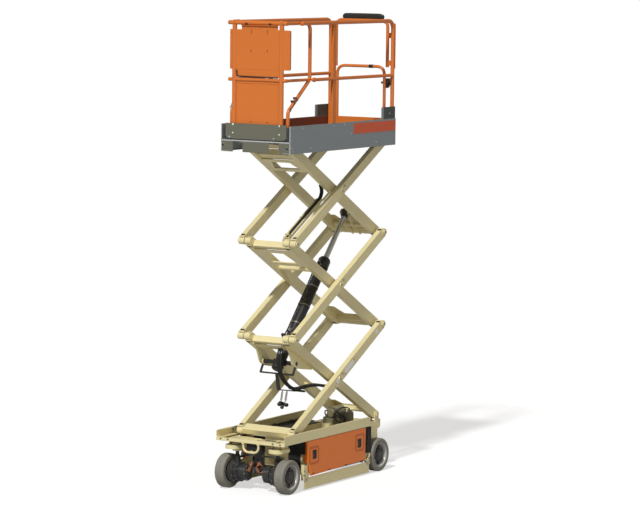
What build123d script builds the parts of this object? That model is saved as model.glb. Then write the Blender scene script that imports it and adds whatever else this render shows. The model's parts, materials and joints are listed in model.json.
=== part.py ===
"""Electric slab scissor lift with three pairs of arms and a roll-out deck extension.

Millimetres. +X is the steering end, +Y the machine's left, +Z up.
The origin is on the ground under the middle of the machine: x is first measured
from a line MIDDLE_X behind it, and save() moves every piece.
"""
from build123d import *
from math import atan2, cos, degrees, hypot, radians, sin, tan
import os

os.makedirs("parts", exist_ok=True)

# ---- driving dimensions ---------------------------------------------------
WIDTH = 760.0              # over the tyres and over the platform
FRONT_X = 957.5            # front face of the chassis
REAR_X = -957.5            # rear face of the platform and of the ladder
DECK_FRONT_X = 912.5       # front face of the fixed platform

# arms
ARM_LENGTH = 1800.0        # pin to pin
ARM_DEPTH = 90.0
ARM_THICK = 52.0
ARM_WALL = 6.0
ARM_MOUTH = 70.0           # depth of an arm's open end
BOSS_RADIUS = 34.0
BOSS_PROUD = 5.0           # past each side of its arm
ARM_INSET = 192.0          # from the side of the machine to the inside face of the inner arms
ARM_GAP = 20.0             # between an inner arm and the outer arm beside it
LIFT_ANGLE = 29.75
BASE_PIVOT_X = -885.0
BASE_PIVOT_Z = 527.0
PIN_RADIUS = 16.0
PIN_CLEARANCE = 0.05
HEAD_RADIUS = 24.0
HEAD_THICK = 8.0
ROLLER_RADIUS = 33.7
ROLLER_THICK = 26.0
SEAT_GAP = 0.3             # running gap under a roller, a slide or a lid

# lift cylinder
TRUNNION_TO_TOP = 310.0     # along inner arm 1 to its upper pin
TRUNNION_BELOW = 115.0
EYE_ALONG = 270.0          # along inner arm 3 from its lower pin
EYE_ABOVE = 60.0
BARREL_RADIUS = 50.0
BARREL_BORE = 40.0
TRUNNION_RADIUS = 20.0
BARREL_TAIL = 62.0         # behind the trunnion
BARREL_REACH = 1200.0      # from the trunnion to the gland's face
GLAND_LENGTH = 110.0
GLAND_RADIUS = 58.0
ROD_RADIUS = 26.0
ROD_BURIED = 690.0         # rod inside the barrel with the lift as stored
EYE_RADIUS = 34.0
LUG_THICK = 12.0
CHEEK_BELOW_PIN = 36.0
HOSE_RADIUS = 8.5
HOSE_END = 650.0           # along inner arm 1
HOSE_END_BELOW = 30.8
HOSE_BAR_RADIUS = 12.0     # cross tube that the hoses are tied to
HOSE_PITCH = 18.0
HOSE_Y = 66.0              # the hose nearest the cylinder
RELEASE_ROD_RADIUS = 6.0
KNOB_RADIUS = 13.0
STRAP = 10.0               # thickness of the hose bracket

# chassis
CHASSIS_TOP = 554.0
CHASSIS_LOW = 467.0        # underside of the side and front channels
FRONT_WALL_TOP = 491.0
FRONT_DECK_Z = 486.0       # cover plate between the outer arms' feet
FRONT_DECK_REAR_X = 808.0
SHEET = 6.0
PLATE = 8.0
SIDE_FLANGE = 50.0
TOW_BAR_RADIUS = 11.0
TOW_HALF_WIDTH = 84.0
TOW_LOW_Z = 375.0
CHANNEL_REAR_X = -560.0
TUB_REAR_X = -470.0
TUB_FRONT_X = 497.0
TUB_FLOOR_Z = 132.0
TUB_LID_Z = 461.0
BATTERY_TOP_Z = 405.0
KEEL_Y = 130.0
TUB_INSET = 29.0           # from the side of the machine
AXLE_PLATE_INSET = 134.0
REAR_WALL_X = -900.0

# running gear
WHEEL_RADIUS = 161.5
WHEEL_WIDTH = 100.0
RIM_RADIUS = 118.0
RIM_DISH = 34.0            # from the rim's edge in to its disc
TYRE_SHOULDER = 20.0
FRONT_AXLE_X = 830.0
REAR_AXLE_X = -760.0
AXLE_BEAM = 80.0           # front to back
KINGPIN_INSET = 155.0
KINGPIN_RADIUS = 18.0
CUP_RADIUS = 78.0          # rounded plates round the kingpins
CUP_FORWARD = 40.0
CUP_Z = (384.0, 420.0)
SPINDLE_RADIUS = 20.0
DRUM_RADIUS = 75.0
HUB_RADIUS = 108.0
STEER_ARM = 90.0
STEER_ARM_Z = 285.0

# side doors and pothole guards
DOOR_TOP_Z = 462.0
DOOR_THICK = 18.0
DOOR_DEPTH = 66.0          # of the flange at the front edge
DOOR_FRONT_X = 560.0
DOOR_FOOT_X = 490.0
FLANGE_LOW_Z = 246.0
DOOR_INSET = 1.0
DOOR_HINGE_Z = 150.0
DOOR_REAR_X = -469.0
HINGE_INSET = 8.0
HINGE_PIN_RADIUS = 5.0
GUARD_HINGE_Z = 116.0
GUARD_FRONT_X = 604.0
GUARD_REAR_X = -550.0
GUARD_LOW_Z = 18.0
GUARD_TOP_Z = 122.0
GUARD_THICK = 8.0
EAR_TOP_Z = 255.0          # chassis plates past the guard's ends

# platform, heights from the standing surface
DECK_ABOVE_PIN = 59.4      # from the upper pins
DECK_THICK = 9.0
SKIRT_BELOW_DECK = 109.0
TOE_HEIGHT = 146.0
KICK_HEIGHT = 259.0        # raised rear part of the toe boards
RAIL_HEIGHT = 1100.0       # to the top of the guard rail
MID_RAIL_HEIGHT = 559.0
RAIL_RADIUS = 19.0
FIXED_RAIL_INSET = 28.5
TOP_RAIL_FRONT_X = 686.0
EXTENSION_RAIL_RADIUS = 17.0
EXTENSION_RAIL_INSET = 71.5
EXTENSION_REAR_X = -60.0
EXTENSION_POST_X = 480.0   # rear upright of the extension's rails
EXTENSION_INSET = 40.0
FRONT_POST_INSET = 122.0
FRONT_POST_RADIUS = 22.0
GATE_X = -925.0
GATE_HALF_WIDTH = 267.0
GATE_HEIGHT = 654.0
PAD_RISE = 51.0            # top of the hoop's pad above the rail's middle line

# ---- derived places -------------------------------------------------------
HALF = WIDTH / 2
INNER_ARM_Y = HALF - ARM_INSET
TUB_SIDE_Y = HALF - TUB_INSET
AXLE_PLATE_Y = HALF - AXLE_PLATE_INSET
KINGPIN_Y = HALF - KINGPIN_INSET
DOOR_FACE_Y = HALF - DOOR_INSET
HINGE_Y = HALF - HINGE_INSET
FIXED_RAIL_Y = HALF - FIXED_RAIL_INSET
EXTENSION_RAIL_Y = HALF - EXTENSION_RAIL_INSET
EXTENSION_HALF_WIDTH = HALF - EXTENSION_INSET
FRONT_POST_Y = HALF - FRONT_POST_INSET
RISE = ARM_LENGTH * sin(radians(LIFT_ANGLE))
SPAN = ARM_LENGTH * cos(radians(LIFT_ANGLE))
FRONT_PIVOT_X = BASE_PIVOT_X + SPAN
OUTER_ARM_Y = INNER_ARM_Y + ARM_THICK + ARM_GAP
BRACKET_GAP = (ARM_GAP - PLATE) / 2
TRUNNION_ALONG = ARM_LENGTH - TRUNNION_TO_TOP
PLATFORM_PIN_Z = BASE_PIVOT_Z + 3 * RISE
DECK_Z = PLATFORM_PIN_Z + DECK_ABOVE_PIN
SKIRT_LOW_Z = DECK_Z - SKIRT_BELOW_DECK
TOE_TOP_Z = DECK_Z + TOE_HEIGHT
RAIL_Z = DECK_Z + RAIL_HEIGHT - RAIL_RADIUS
MID_RAIL_Z = DECK_Z + MID_RAIL_HEIGHT
GATE_TOP_Z = DECK_Z + GATE_HEIGHT
MIDDLE_X = (FRONT_AXLE_X + WHEEL_RADIUS + REAR_X) / 2


# ---- helpers --------------------------------------------------------------
def block(x, y, z):
    """Box between the pairs x, y and z."""
    size = (x[1] - x[0], y[1] - y[0], z[1] - z[0])
    return Pos(sum(x) / 2, sum(y) / 2, sum(z) / 2) * Box(*size)


def bar_x(radius, x, y, z):
    return Pos(sum(x) / 2, y, z) * Rot(0, 90, 0) * Cylinder(radius, x[1] - x[0])


def bar_y(radius, x, y, z):
    return Pos(x, sum(y) / 2, z) * Rot(90, 0, 0) * Cylinder(radius, y[1] - y[0])


def bar_z(radius, x, y, z):
    return Pos(x, y, sum(z) / 2) * Cylinder(radius, z[1] - z[0])


def plate_y(outline, y):
    """Plate across Y from an outline of (x, z) points."""
    line = Polyline([(x, y[0], z) for x, z in outline], close=True)
    return extrude(make_face(line), amount=y[1] - y[0], dir=(0, 1, 0))


def pipe(points, bend, radius):
    """Round tube along a bent line."""
    path = FilletPolyline(*points, radius=bend) if len(points) > 2 else Polyline(*points)
    start = path @ 0
    return sweep(Plane(origin=start, z_dir=path % 0) * Circle(radius), path=path)


def widest_bends(points):
    """Radius for each corner of a hose, as large as its two runs allow."""
    corners = [Vector(*point) for point in points]
    runs = [after - before for before, after in zip(corners, corners[1:])]
    return [
        0.45 * min(first.length, second.length) / tan(radians(first.get_angle(second)) / 2)
        for first, second in zip(runs, runs[1:])
    ]


def joined(*shapes):
    total = shapes[0]
    for shape in shapes[1:]:
        total = total + shape
    return total


def mirrored(shape):
    return mirror(shape, about=Plane.XZ)


def save(name, *shapes):
    """Write one node; shapes that touch are fused and the rest stay apart."""
    solids = (Pos(-MIDDLE_X, 0, 0) * joined(*shapes)).solids()
    export_step(Compound(children=list(solids)), f"parts/{name}.step")


def pair(shape):
    return shape, mirrored(shape)


def arm_place(kind, stack):
    """Place of an arm's own frame: x along the arm from its lower pin, z square to it."""
    low_z = BASE_PIVOT_Z + (stack - 1) * RISE
    if kind == "inner":
        return Pos(BASE_PIVOT_X, 0, low_z) * Rot(0, -LIFT_ANGLE, 0)
    return Pos(FRONT_PIVOT_X, 0, low_z) * Rot(0, LIFT_ANGLE, 0) * Rot(0, 0, 180)


# ---- arms -----------------------------------------------------------------
def arm_bar(y_inside, bores):
    """One arm of the left side in its own frame: a box tube with a round boss across each open end."""
    half = ARM_DEPTH / 2
    y = (y_inside, y_inside + ARM_THICK)
    mouth_y = (y[0] + ARM_WALL, y[1] - ARM_WALL)
    bar = block((0, ARM_LENGTH), y, (-half, half))
    for mouth in ((-1, ARM_MOUTH), (ARM_LENGTH - ARM_MOUTH, ARM_LENGTH + 1)):
        bar -= block(mouth, mouth_y, (-half + ARM_WALL, half - ARM_WALL))
    for along in (0, ARM_LENGTH):
        bar += bar_y(BOSS_RADIUS, along, (y[0] - BOSS_PROUD, y[1] + BOSS_PROUD), 0)
    for along in bores:
        bar -= bar_y(PIN_RADIUS + PIN_CLEARANCE, along, (y[0] - 10, y[1] + 10), 0)
    return bar


def pin_stub(along, y, head_y=None):
    stub = bar_y(PIN_RADIUS, along, y, 0)
    if head_y is not None:
        stub += bar_y(HEAD_RADIUS, along, (head_y, head_y + HEAD_THICK), 0)
    return stub


def cross_tube(radius, along, below=0.0):
    return bar_y(radius, along, (-INNER_ARM_Y, INNER_ARM_Y), -below)


def web(x, z, window_x=None):
    """Sheet between the inner arms, with a trapezoid window that is wider at its second end."""
    sheet = block(x, (-INNER_ARM_Y, INNER_ARM_Y), z)
    if window_x is None:
        return sheet
    narrow, wide = INNER_ARM_Y - 90, INNER_ARM_Y - 50
    corners = [(window_x[0], -narrow), (window_x[1], -wide), (window_x[1], wide), (window_x[0], narrow)]
    line = Polyline([(along, y, z[0] - 1) for along, y in corners], close=True)
    return sheet - extrude(make_face(line), amount=z[1] - z[0] + 2, dir=(0, 0, 1))


INNER_FACE = INNER_ARM_Y + ARM_THICK
OUTER_FACE = OUTER_ARM_Y + ARM_THICK
HEAD_Y = OUTER_FACE + BOSS_PROUD + 1.0
MIDDLE = ARM_LENGTH / 2
across = (-INNER_ARM_Y, INNER_ARM_Y)
WEB_HIGH = (ARM_DEPTH / 2 - SHEET - 1, ARM_DEPTH / 2 - 1)
WEB_LOW = (-ARM_DEPTH / 2 + 1, -ARM_DEPTH / 2 + SHEET + 1)

# stack, how the lower pin ends, the upper cross box along the arm, the web below it, the web's window
INNER_ARMS = [
    (1, "base", (ARM_LENGTH - 95, ARM_LENGTH - 36), 70.0, None),
    (2, "arm", (ARM_LENGTH - 95, ARM_LENGTH - 36), 330.0, (ARM_LENGTH - 145, ARM_LENGTH - 360)),
    (3, "arm", (ARM_LENGTH - 210, ARM_LENGTH - 120), 230.0, (ARM_LENGTH - 250, ARM_LENGTH - 380)),
]
for stack, lower, upper_cross, web_reach, window in INNER_ARMS:
    place = arm_place("inner", stack)
    save(f"inner_arms_{stack}", *pair(place * arm_bar(INNER_ARM_Y, [])))

    boss_y = (INNER_FACE + BOSS_PROUD, HEAD_Y)
    pins = [pin_stub(MIDDLE, (INNER_FACE, HEAD_Y - BOSS_PROUD), HEAD_Y - BOSS_PROUD)]
    if lower == "base":
        outside = INNER_FACE + BRACKET_GAP + PLATE + 1.0
        pins.append(pin_stub(0, (INNER_FACE + BOSS_PROUD, outside), outside))
        pins.append(pin_stub(0, (INNER_ARM_Y - BRACKET_GAP - PLATE - 4.0, INNER_ARM_Y - BOSS_PROUD)))
    else:
        pins.append(pin_stub(0, boss_y, HEAD_Y))
    if stack < 3:
        pins.append(pin_stub(ARM_LENGTH, boss_y, HEAD_Y))
    save(f"inner_pins_{stack}", *[side for pin in pins for side in pair(place * pin)])

    if lower == "base":
        crosses = [block((60, 95), across, (-10, 40)), web((60, 178), WEB_HIGH, (105, 179))]
    else:
        between_bosses = (-INNER_ARM_Y + BOSS_PROUD, INNER_ARM_Y - BOSS_PROUD)
        crosses = [bar_y(28.0, 0, between_bosses, 0), block((20, 60), between_bosses, (-8, 40))]
        crosses += [block((36, 60), across, (-8, 40)), web((36, 235), WEB_HIGH, (85, 236))]
    crosses.append(block(upper_cross, across, (-30, 30)))
    crosses.append(web((upper_cross[0] - web_reach, upper_cross[0] + 10), WEB_LOW, window))
    if window:
        lip = (upper_cross[0] - web_reach, upper_cross[0] - web_reach + SHEET)
        crosses.append(block(lip, across, (WEB_LOW[0], -8)))
    if stack == 1:
        cheek_y = (INNER_ARM_Y - LUG_THICK - 1, INNER_ARM_Y - 1)
        cheek_low = -TRUNNION_BELOW - CHEEK_BELOW_PIN
        cheek = plate_y([
            (ARM_LENGTH - 40, 10), (ARM_LENGTH - 62, -48), (ARM_LENGTH - 140, -72),
            (TRUNNION_ALONG + 62, cheek_low), (TRUNNION_ALONG - 18, cheek_low),
            (TRUNNION_ALONG - 110, -TRUNNION_BELOW - 6), (TRUNNION_ALONG - 270, -58),
            (TRUNNION_ALONG - 300, -20), (TRUNNION_ALONG - 300, 10),
        ], cheek_y)
        cheek += block((TRUNNION_ALONG - 300, ARM_LENGTH - 40), (cheek_y[1] - 1, INNER_ARM_Y), (-30, 10))
        bore = TRUNNION_RADIUS + PIN_CLEARANCE
        cheek -= bar_y(bore, TRUNNION_ALONG, (0, INNER_ARM_Y + 1), -TRUNNION_BELOW)
        hose_bar_below = HOSE_END_BELOW - HOSE_RADIUS - HOSE_BAR_RADIUS - SEAT_GAP
        crosses += [cheek, mirrored(cheek), cross_tube(HOSE_BAR_RADIUS, HOSE_END + 50, hose_bar_below)]
    if stack == 2:
        crosses.append(cross_tube(25.0, MIDDLE + 328))
    if stack == 3:
        ear = plate_y([
            (-20, -35), (170, -35), (EYE_ALONG + 30, EYE_ABOVE - 20), (EYE_ALONG + 30, EYE_ABOVE + 22),
            (EYE_ALONG + 12, EYE_ABOVE + 34), (EYE_ALONG - 20, EYE_ABOVE + 34), (-20, 35),
        ], (36, 36 + LUG_THICK))
        crosses += [cross_tube(22.0, EYE_ALONG - 135, 2), ear, mirrored(ear)]
    save(f"inner_cross_{stack}", place * joined(*crosses))

for stack in (1, 2, 3):
    place = arm_place("outer", stack)
    bores = [MIDDLE, ARM_LENGTH] if stack == 1 else [0, MIDDLE, ARM_LENGTH]
    save(f"outer_arms_{stack}", *pair(place * arm_bar(OUTER_ARM_Y, bores)))

place = arm_place("outer", 1)
foot_y = OUTER_ARM_Y - BOSS_PROUD
front_cross = block((-22, 68), (-foot_y, foot_y), (-24, 31))
save("outer_cross_1", place * front_cross)
roller_y = OUTER_FACE + BOSS_PROUD + 4
base_roller = joined(
    pin_stub(0, (OUTER_FACE + BOSS_PROUD, roller_y)),
    bar_y(ROLLER_RADIUS, 0, (roller_y, roller_y + ROLLER_THICK), 0),
)
save("base_rollers", *pair(place * base_roller))

place = arm_place("inner", 3)
top_roller_y = INNER_ARM_Y - BOSS_PROUD - 4
top_roller = joined(
    pin_stub(ARM_LENGTH, (top_roller_y, INNER_ARM_Y - BOSS_PROUD)),
    bar_y(ROLLER_RADIUS, ARM_LENGTH, (top_roller_y - ROLLER_THICK, top_roller_y), 0),
)
save("top_rollers", *pair(place * top_roller))

# ---- lift cylinder --------------------------------------------------------
def inner_point(stack, along, above):
    """(x, z) of a point given along and above an inner arm's line."""
    tilt = radians(LIFT_ANGLE)
    low_z = BASE_PIVOT_Z + (stack - 1) * RISE
    x = BASE_PIVOT_X + along * cos(tilt) - above * sin(tilt)
    return x, low_z + along * sin(tilt) + above * cos(tilt)


TRUNNION = inner_point(1, TRUNNION_ALONG, -TRUNNION_BELOW)
EYE = inner_point(3, EYE_ALONG, EYE_ABOVE)
CYLINDER_LENGTH = hypot(EYE[0] - TRUNNION[0], EYE[1] - TRUNNION[1])
CYLINDER_TILT = degrees(atan2(EYE[1] - TRUNNION[1], EYE[0] - TRUNNION[0]))
cylinder_place = Pos(TRUNNION[0], 0, TRUNNION[1]) * Rot(0, -CYLINDER_TILT, 0)
gland_x = (BARREL_REACH - GLAND_LENGTH, BARREL_REACH)
barrel = joined(
    bar_x(BARREL_RADIUS, (-BARREL_TAIL, BARREL_REACH), 0, 0),
    bar_x(GLAND_RADIUS, (gland_x[0], BARREL_REACH - 18), 0, 0),
    bar_x(BARREL_RADIUS + 4, (-BARREL_TAIL - 14, -BARREL_TAIL + 22), 0, 0),
    bar_y(TRUNNION_RADIUS, 0, (-INNER_ARM_Y + 0.5, INNER_ARM_Y - 0.5), 0),
    bar_y(TRUNNION_RADIUS + 12, 0, (-BARREL_RADIUS - 14, BARREL_RADIUS + 14), 0),
)
barrel += bar_z(15.0, gland_x[0] + 30, 0, (BARREL_BORE, GLAND_RADIUS + 18))
barrel += bar_z(19.0, gland_x[0] - 70, 0, (BARREL_BORE + 1, BARREL_RADIUS + 22))
barrel += block((225, 310), (-24, 24), (BARREL_BORE + 2, BARREL_RADIUS + 40))
barrel -= bar_x(BARREL_BORE, (-BARREL_TAIL + 20, gland_x[0]), 0, 0)
barrel -= bar_x(ROD_RADIUS + PIN_CLEARANCE, (gland_x[0] - 1, BARREL_REACH + 1), 0, 0)
save("lift_barrel", cylinder_place * barrel)

rod = joined(
    bar_x(ROD_RADIUS, (BARREL_REACH - ROD_BURIED, CYLINDER_LENGTH - 10), 0, 0),
    bar_x(BARREL_BORE - PIN_CLEARANCE, (BARREL_REACH - ROD_BURIED, BARREL_REACH - ROD_BURIED + 40), 0, 0),
    bar_y(EYE_RADIUS, CYLINDER_LENGTH, (-31, 31), 0),
)
save("lift_rod", cylinder_place * rod)

# ---- hoses and hand release under the lowest inner arms --------------------
# along the arm, above its line; the last point lies under the cross tube that holds the hoses
HOSE_LINE = [
    (1662, -38.0 - SHEET - SEAT_GAP), (1660, -105), (1630, -168), (1576, -228), (1500, -270), (1403, -291),
    (1312, -291), (1228, -266), (1155, -226), (1085, -180), (1008, -137), (922, -96), (830, -60),
    (744, -HOSE_END_BELOW - 6), (HOSE_END + 46, -HOSE_END_BELOW), (HOSE_END, -HOSE_END_BELOW + 0.6),
]
place = arm_place("inner", 1)
hoses = []
for number in range(3):
    points = [(along, HOSE_Y + number * HOSE_PITCH, above) for along, above in HOSE_LINE]
    hoses.append(place * pipe(points, widest_bends(points), HOSE_RADIUS))
save("hoses", *hoses)


def strap(start, end, y):
    """Flat bar between two points (along, above) of the arm's frame."""
    run = hypot(end[0] - start[0], end[1] - start[1])
    tilt = degrees(atan2(end[1] - start[1], end[0] - start[0]))
    return Pos(start[0], 0, start[1]) * Rot(0, -tilt, 0) * block((0, run), y, (-STRAP / 2, STRAP / 2))


cheek_low = -TRUNNION_BELOW - CHEEK_BELOW_PIN
hanger_low = -232.0
hanger_x = (TRUNNION_ALONG - 16, TRUNNION_ALONG + 6)
strap_y = (-18, 18)
bracket_knee, bracket_tail = (1376, -346), (1122, -252)
bracket = joined(
    *pair(block(hanger_x, (INNER_ARM_Y - LUG_THICK - 1, INNER_ARM_Y - 1), (hanger_low, cheek_low))),
    block(hanger_x, (-INNER_ARM_Y + 1, INNER_ARM_Y - 1), (hanger_low, hanger_low + STRAP)),
    strap((hanger_x[0] + STRAP / 2, hanger_low + STRAP / 2), bracket_knee, strap_y),
    strap(bracket_knee, bracket_tail, strap_y),
    block((1108, 1142), (-18, HOSE_Y + 2 * HOSE_PITCH + 14), (-250, -240)),
)
save("hose_bracket", place * bracket)

rod_feet = [(1308, -322), (1236, -296)]
rod_heads = [(1280, -430), (1208, -404)]
release_rods = [
    place * (pipe([(foot[0], 0, foot[1]), (head[0], 0, head[1])], 0, RELEASE_ROD_RADIUS) - bracket)
    for foot, head in zip(rod_feet, rod_heads)
]
save("release_rods", *release_rods)
knob_x = (rod_heads[0][0] + rod_heads[1][0]) / 2
knob_z = (rod_heads[0][1] + rod_heads[1][1]) / 2
handle_ends = (rod_heads[1][0] - 18, rod_heads[1][1] - 16), (rod_heads[0][0] + 14, rod_heads[0][1] - 4)
knob = strap(*handle_ends, (-14, 14))
knob += bar_y(KNOB_RADIUS, knob_x - 8, (-46, 46), knob_z - 22)
knob += bar_z(KNOB_RADIUS + 3, knob_x - 8, 0, (knob_z - 52, knob_z))
save("release_knob", place * knob - joined(*release_rods))

# ---- chassis --------------------------------------------------------------
web_y = (HALF - SHEET, HALF)
front_wall_x = (FRONT_X - SHEET, FRONT_X)
front_deck_z = (FRONT_DECK_Z - SHEET, FRONT_DECK_Z)
front_deck_y = foot_y - SHEET
floor_z = (CHASSIS_LOW, CHASSIS_LOW + SHEET)
track_top_z = BASE_PIVOT_Z - ROLLER_RADIUS - SEAT_GAP
track_y = (roller_y - 3, web_y[1] - 1)
cup_y = (KINGPIN_Y + 15 - CUP_RADIUS, KINGPIN_Y + 15 + CUP_RADIUS)
chassis_side = joined(
    block((CHANNEL_REAR_X, front_wall_x[0]), web_y, (CHASSIS_LOW, CHASSIS_TOP)),
    block((CHANNEL_REAR_X, front_wall_x[0]), (HALF - 25, HALF - 1), (CHASSIS_TOP - SHEET, CHASSIS_TOP)),
    block((CHANNEL_REAR_X, front_wall_x[0]), (HALF - SIDE_FLANGE, HALF - 1), floor_z),
    block((FRONT_PIVOT_X - 420, front_wall_x[0] + 1), track_y, (track_top_z - PLATE, track_top_z)),
    block((REAR_WALL_X, TUB_REAR_X), (AXLE_PLATE_Y, AXLE_PLATE_Y + PLATE), (120, TUB_LID_Z)),
    block((TUB_REAR_X, TUB_FRONT_X), (KEEL_Y, KEEL_Y + SHEET), (TUB_FLOOR_Z, TUB_LID_Z)),
    block((TUB_REAR_X, TUB_FRONT_X), (KEEL_Y, TUB_SIDE_Y - SHEET), (TUB_FLOOR_Z, TUB_FLOOR_Z + SHEET)),
    block((TUB_REAR_X, TUB_FRONT_X), (KEEL_Y, TUB_SIDE_Y), (TUB_LID_Z, CHASSIS_LOW)),
    block((TUB_REAR_X - SHEET, TUB_REAR_X), (KEEL_Y, TUB_SIDE_Y), (120, CHASSIS_LOW)),
    block((TUB_FRONT_X, TUB_FRONT_X + SHEET), (KEEL_Y, TUB_SIDE_Y), (TUB_FLOOR_Z, CHASSIS_LOW)),
    block((700, FRONT_X - 1), (KEEL_Y, HALF - 1), floor_z),
    bar_z(KINGPIN_RADIUS + 30, FRONT_AXLE_X, KINGPIN_Y, (360, CHASSIS_LOW)),
    bar_z(CUP_RADIUS, FRONT_AXLE_X + CUP_FORWARD, KINGPIN_Y + 15, CUP_Z),
    block((FRONT_AXLE_X - 60, FRONT_AXLE_X + CUP_FORWARD), cup_y, CUP_Z),
    block((FRONT_AXLE_X - 60, FRONT_AXLE_X + 40), (KINGPIN_Y + 60, KINGPIN_Y + 68), (CUP_Z[0], CHASSIS_LOW)),
)
# plates past both ends of the door carry the hinge pins of door and guard
# how far out the end plate is, its top, the plate's inner end
END_PLATES = [(GUARD_FRONT_X + SHEET, 250.0, TUB_FRONT_X), (GUARD_REAR_X - 2 * SHEET, 205.0, TUB_REAR_X)]
for end_x, top_z, wall_x in END_PLATES:
    inner = sorted((wall_x, end_x + SHEET / 2))
    inner_top_z = min(top_z, FLANGE_LOW_Z - 2 * SHEET)
    chassis_side += block(inner, (TUB_SIDE_Y - SHEET, TUB_SIDE_Y), (TUB_FLOOR_Z, inner_top_z))
    chassis_side += block((end_x, end_x + SHEET), (TUB_SIDE_Y - SHEET, HALF), (GUARD_TOP_Z - 20, top_z))
ear_rise = EAR_TOP_Z - GUARD_TOP_Z
front_ear_x = GUARD_FRONT_X + 2 * SHEET
rear_ear_x = GUARD_REAR_X - 2 * SHEET
ear_y = (HALF - SHEET, HALF)
ear_low_z = GUARD_TOP_Z + 3
chassis_side += plate_y([
    (front_ear_x, EAR_TOP_Z), (front_ear_x, ear_low_z), (TUB_FRONT_X + 36, ear_low_z),
    (TUB_FRONT_X + 36, ear_low_z + 18), (front_ear_x - 42, ear_low_z + ear_rise / 3),
    (front_ear_x - 18, EAR_TOP_Z - 12),
], ear_y)
chassis_side += plate_y([
    (rear_ear_x, EAR_TOP_Z - 50), (rear_ear_x, ear_low_z), (DOOR_REAR_X - 26, ear_low_z),
    (DOOR_REAR_X - 26, ear_low_z + 18), (rear_ear_x + 26, ear_low_z + ear_rise / 3),
], ear_y)
for lug_x in (DOOR_REAR_X - 8 - LUG_THICK, TUB_FRONT_X + 16):
    lug_z = (DOOR_HINGE_Z - 10, DOOR_HINGE_Z + 10)
    chassis_side += block((lug_x, lug_x + LUG_THICK), (TUB_SIDE_Y - SHEET, HALF), lug_z)
chassis_side -= bar_x(HINGE_PIN_RADIUS + PIN_CLEARANCE, (-700, 700), HINGE_Y, DOOR_HINGE_Z)
chassis_side -= bar_x(HINGE_PIN_RADIUS + PIN_CLEARANCE, (-700, 700), HINGE_Y, GUARD_HINGE_Z)
chassis_side -= bar_y(SPINDLE_RADIUS + PIN_CLEARANCE, REAR_AXLE_X, (AXLE_PLATE_Y - 20, HALF), WHEEL_RADIUS)
chassis_side -= bar_z(KINGPIN_RADIUS + PIN_CLEARANCE, FRONT_AXLE_X, KINGPIN_Y, (350, 460))
base_ears = joined(*[
    plate_y([(-35, 440), (35, 440), (35, 545), (18, 562), (-18, 562), (-35, 545)], (y, y + PLATE))
    for y in (INNER_ARM_Y - BRACKET_GAP - PLATE, INNER_FACE + BRACKET_GAP)
])
base_ears -= bar_y(PIN_RADIUS + PIN_CLEARANCE, 0, (100, 300), BASE_PIVOT_Z)
# the outer ear's foot, behind the axle plate
foot = [(-66, 480), (-66, 408), (-48, 392), (-14, 392), (-14, 480)]
base_ears += plate_y(foot, (INNER_FACE + BRACKET_GAP, INNER_FACE + BRACKET_GAP + PLATE))
tie_down = plate_y(
    [(REAR_WALL_X - 55, 290), (REAR_WALL_X, 265), (REAR_WALL_X, 365), (REAR_WALL_X - 55, 340)], (196, 204)
)
tie_down -= bar_y(13.0, REAR_WALL_X - 30, (190, 210), 315)
chassis_side = joined(chassis_side, Pos(BASE_PIVOT_X, 0, 0) * base_ears, tie_down)
rear_y = (-AXLE_PLATE_Y - PLATE, AXLE_PLATE_Y + PLATE)
step_z = (floor_z[0] + 1, FRONT_DECK_Z)
chassis_middle = joined(
    block(front_wall_x, (-HALF, HALF), (CHASSIS_LOW - 8, FRONT_WALL_TOP)),
    block((FRONT_DECK_REAR_X, FRONT_X - 1), (-front_deck_y, front_deck_y), front_deck_z),
    block((FRONT_DECK_REAR_X, FRONT_DECK_REAR_X + SHEET), (-front_deck_y, front_deck_y), step_z),
    block((FRONT_DECK_REAR_X + 24, FRONT_X - 22), (-150, 80), (FRONT_DECK_Z - 1, FRONT_DECK_Z + 5)),
    block((FRONT_DECK_REAR_X, front_wall_x[1] - 1), (-HALF + 1, HALF - 1), floor_z),
    block((REAR_WALL_X, REAR_WALL_X + PLATE), rear_y, (150, CHASSIS_LOW)),
    block((REAR_WALL_X - 20, TUB_REAR_X), rear_y, (TUB_LID_Z - SHEET, TUB_LID_Z)),
    block((TUB_REAR_X, TUB_REAR_X + SHEET), (-KEEL_Y, KEEL_Y), (TUB_FLOOR_Z, TUB_LID_Z)),
    block((TUB_FRONT_X - SHEET, TUB_FRONT_X), (-KEEL_Y, KEEL_Y), (TUB_FLOOR_Z, 190)),
)
save("chassis_frame", chassis_middle, chassis_side, mirrored(chassis_side))

tow_x = FRONT_X - TOW_BAR_RADIUS - 3
tow_line = [(tow_x, side * TOW_HALF_WIDTH, z) for side, z in (
    (-1, CHASSIS_LOW - 8), (-1, TOW_LOW_Z), (1, TOW_LOW_Z), (1, CHASSIS_LOW - 8))]
tow_loop = pipe(tow_line, 52.0, TOW_BAR_RADIUS)
save("tow_loop", tow_loop)

battery_x = (TUB_REAR_X + 30, TUB_FRONT_X - 40)
battery_y = (KEEL_Y + SHEET + 8, TUB_SIDE_Y - 19)
battery = block(battery_x, battery_y, (TUB_FLOOR_Z + SHEET, BATTERY_TOP_Z))
save("batteries", *pair(battery))

hydraulics = joined(
    block((-700, -500), (-120, 60), (TUB_LID_Z, TUB_LID_Z + 59)),
    bar_x(56.0, (-690, -545), -30, TUB_LID_Z + 103),
    bar_x(40.0, (-560, -490), -30, TUB_LID_Z + 103),
    bar_z(38.0, -620, 105, (TUB_LID_Z, TUB_LID_Z + 114)),
)
save("hydraulic_unit", hydraulics)

ladder = joined(*[
    block((REAR_X, REAR_X + 28), (-150, 150), (z, z + 24)) for z in (215.0, 425.0)
], *[
    block((REAR_X, REAR_WALL_X), (y, y + SHEET), (205, 455)) for y in (-156.0, 150.0)
])
save("ladder", ladder)

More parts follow.
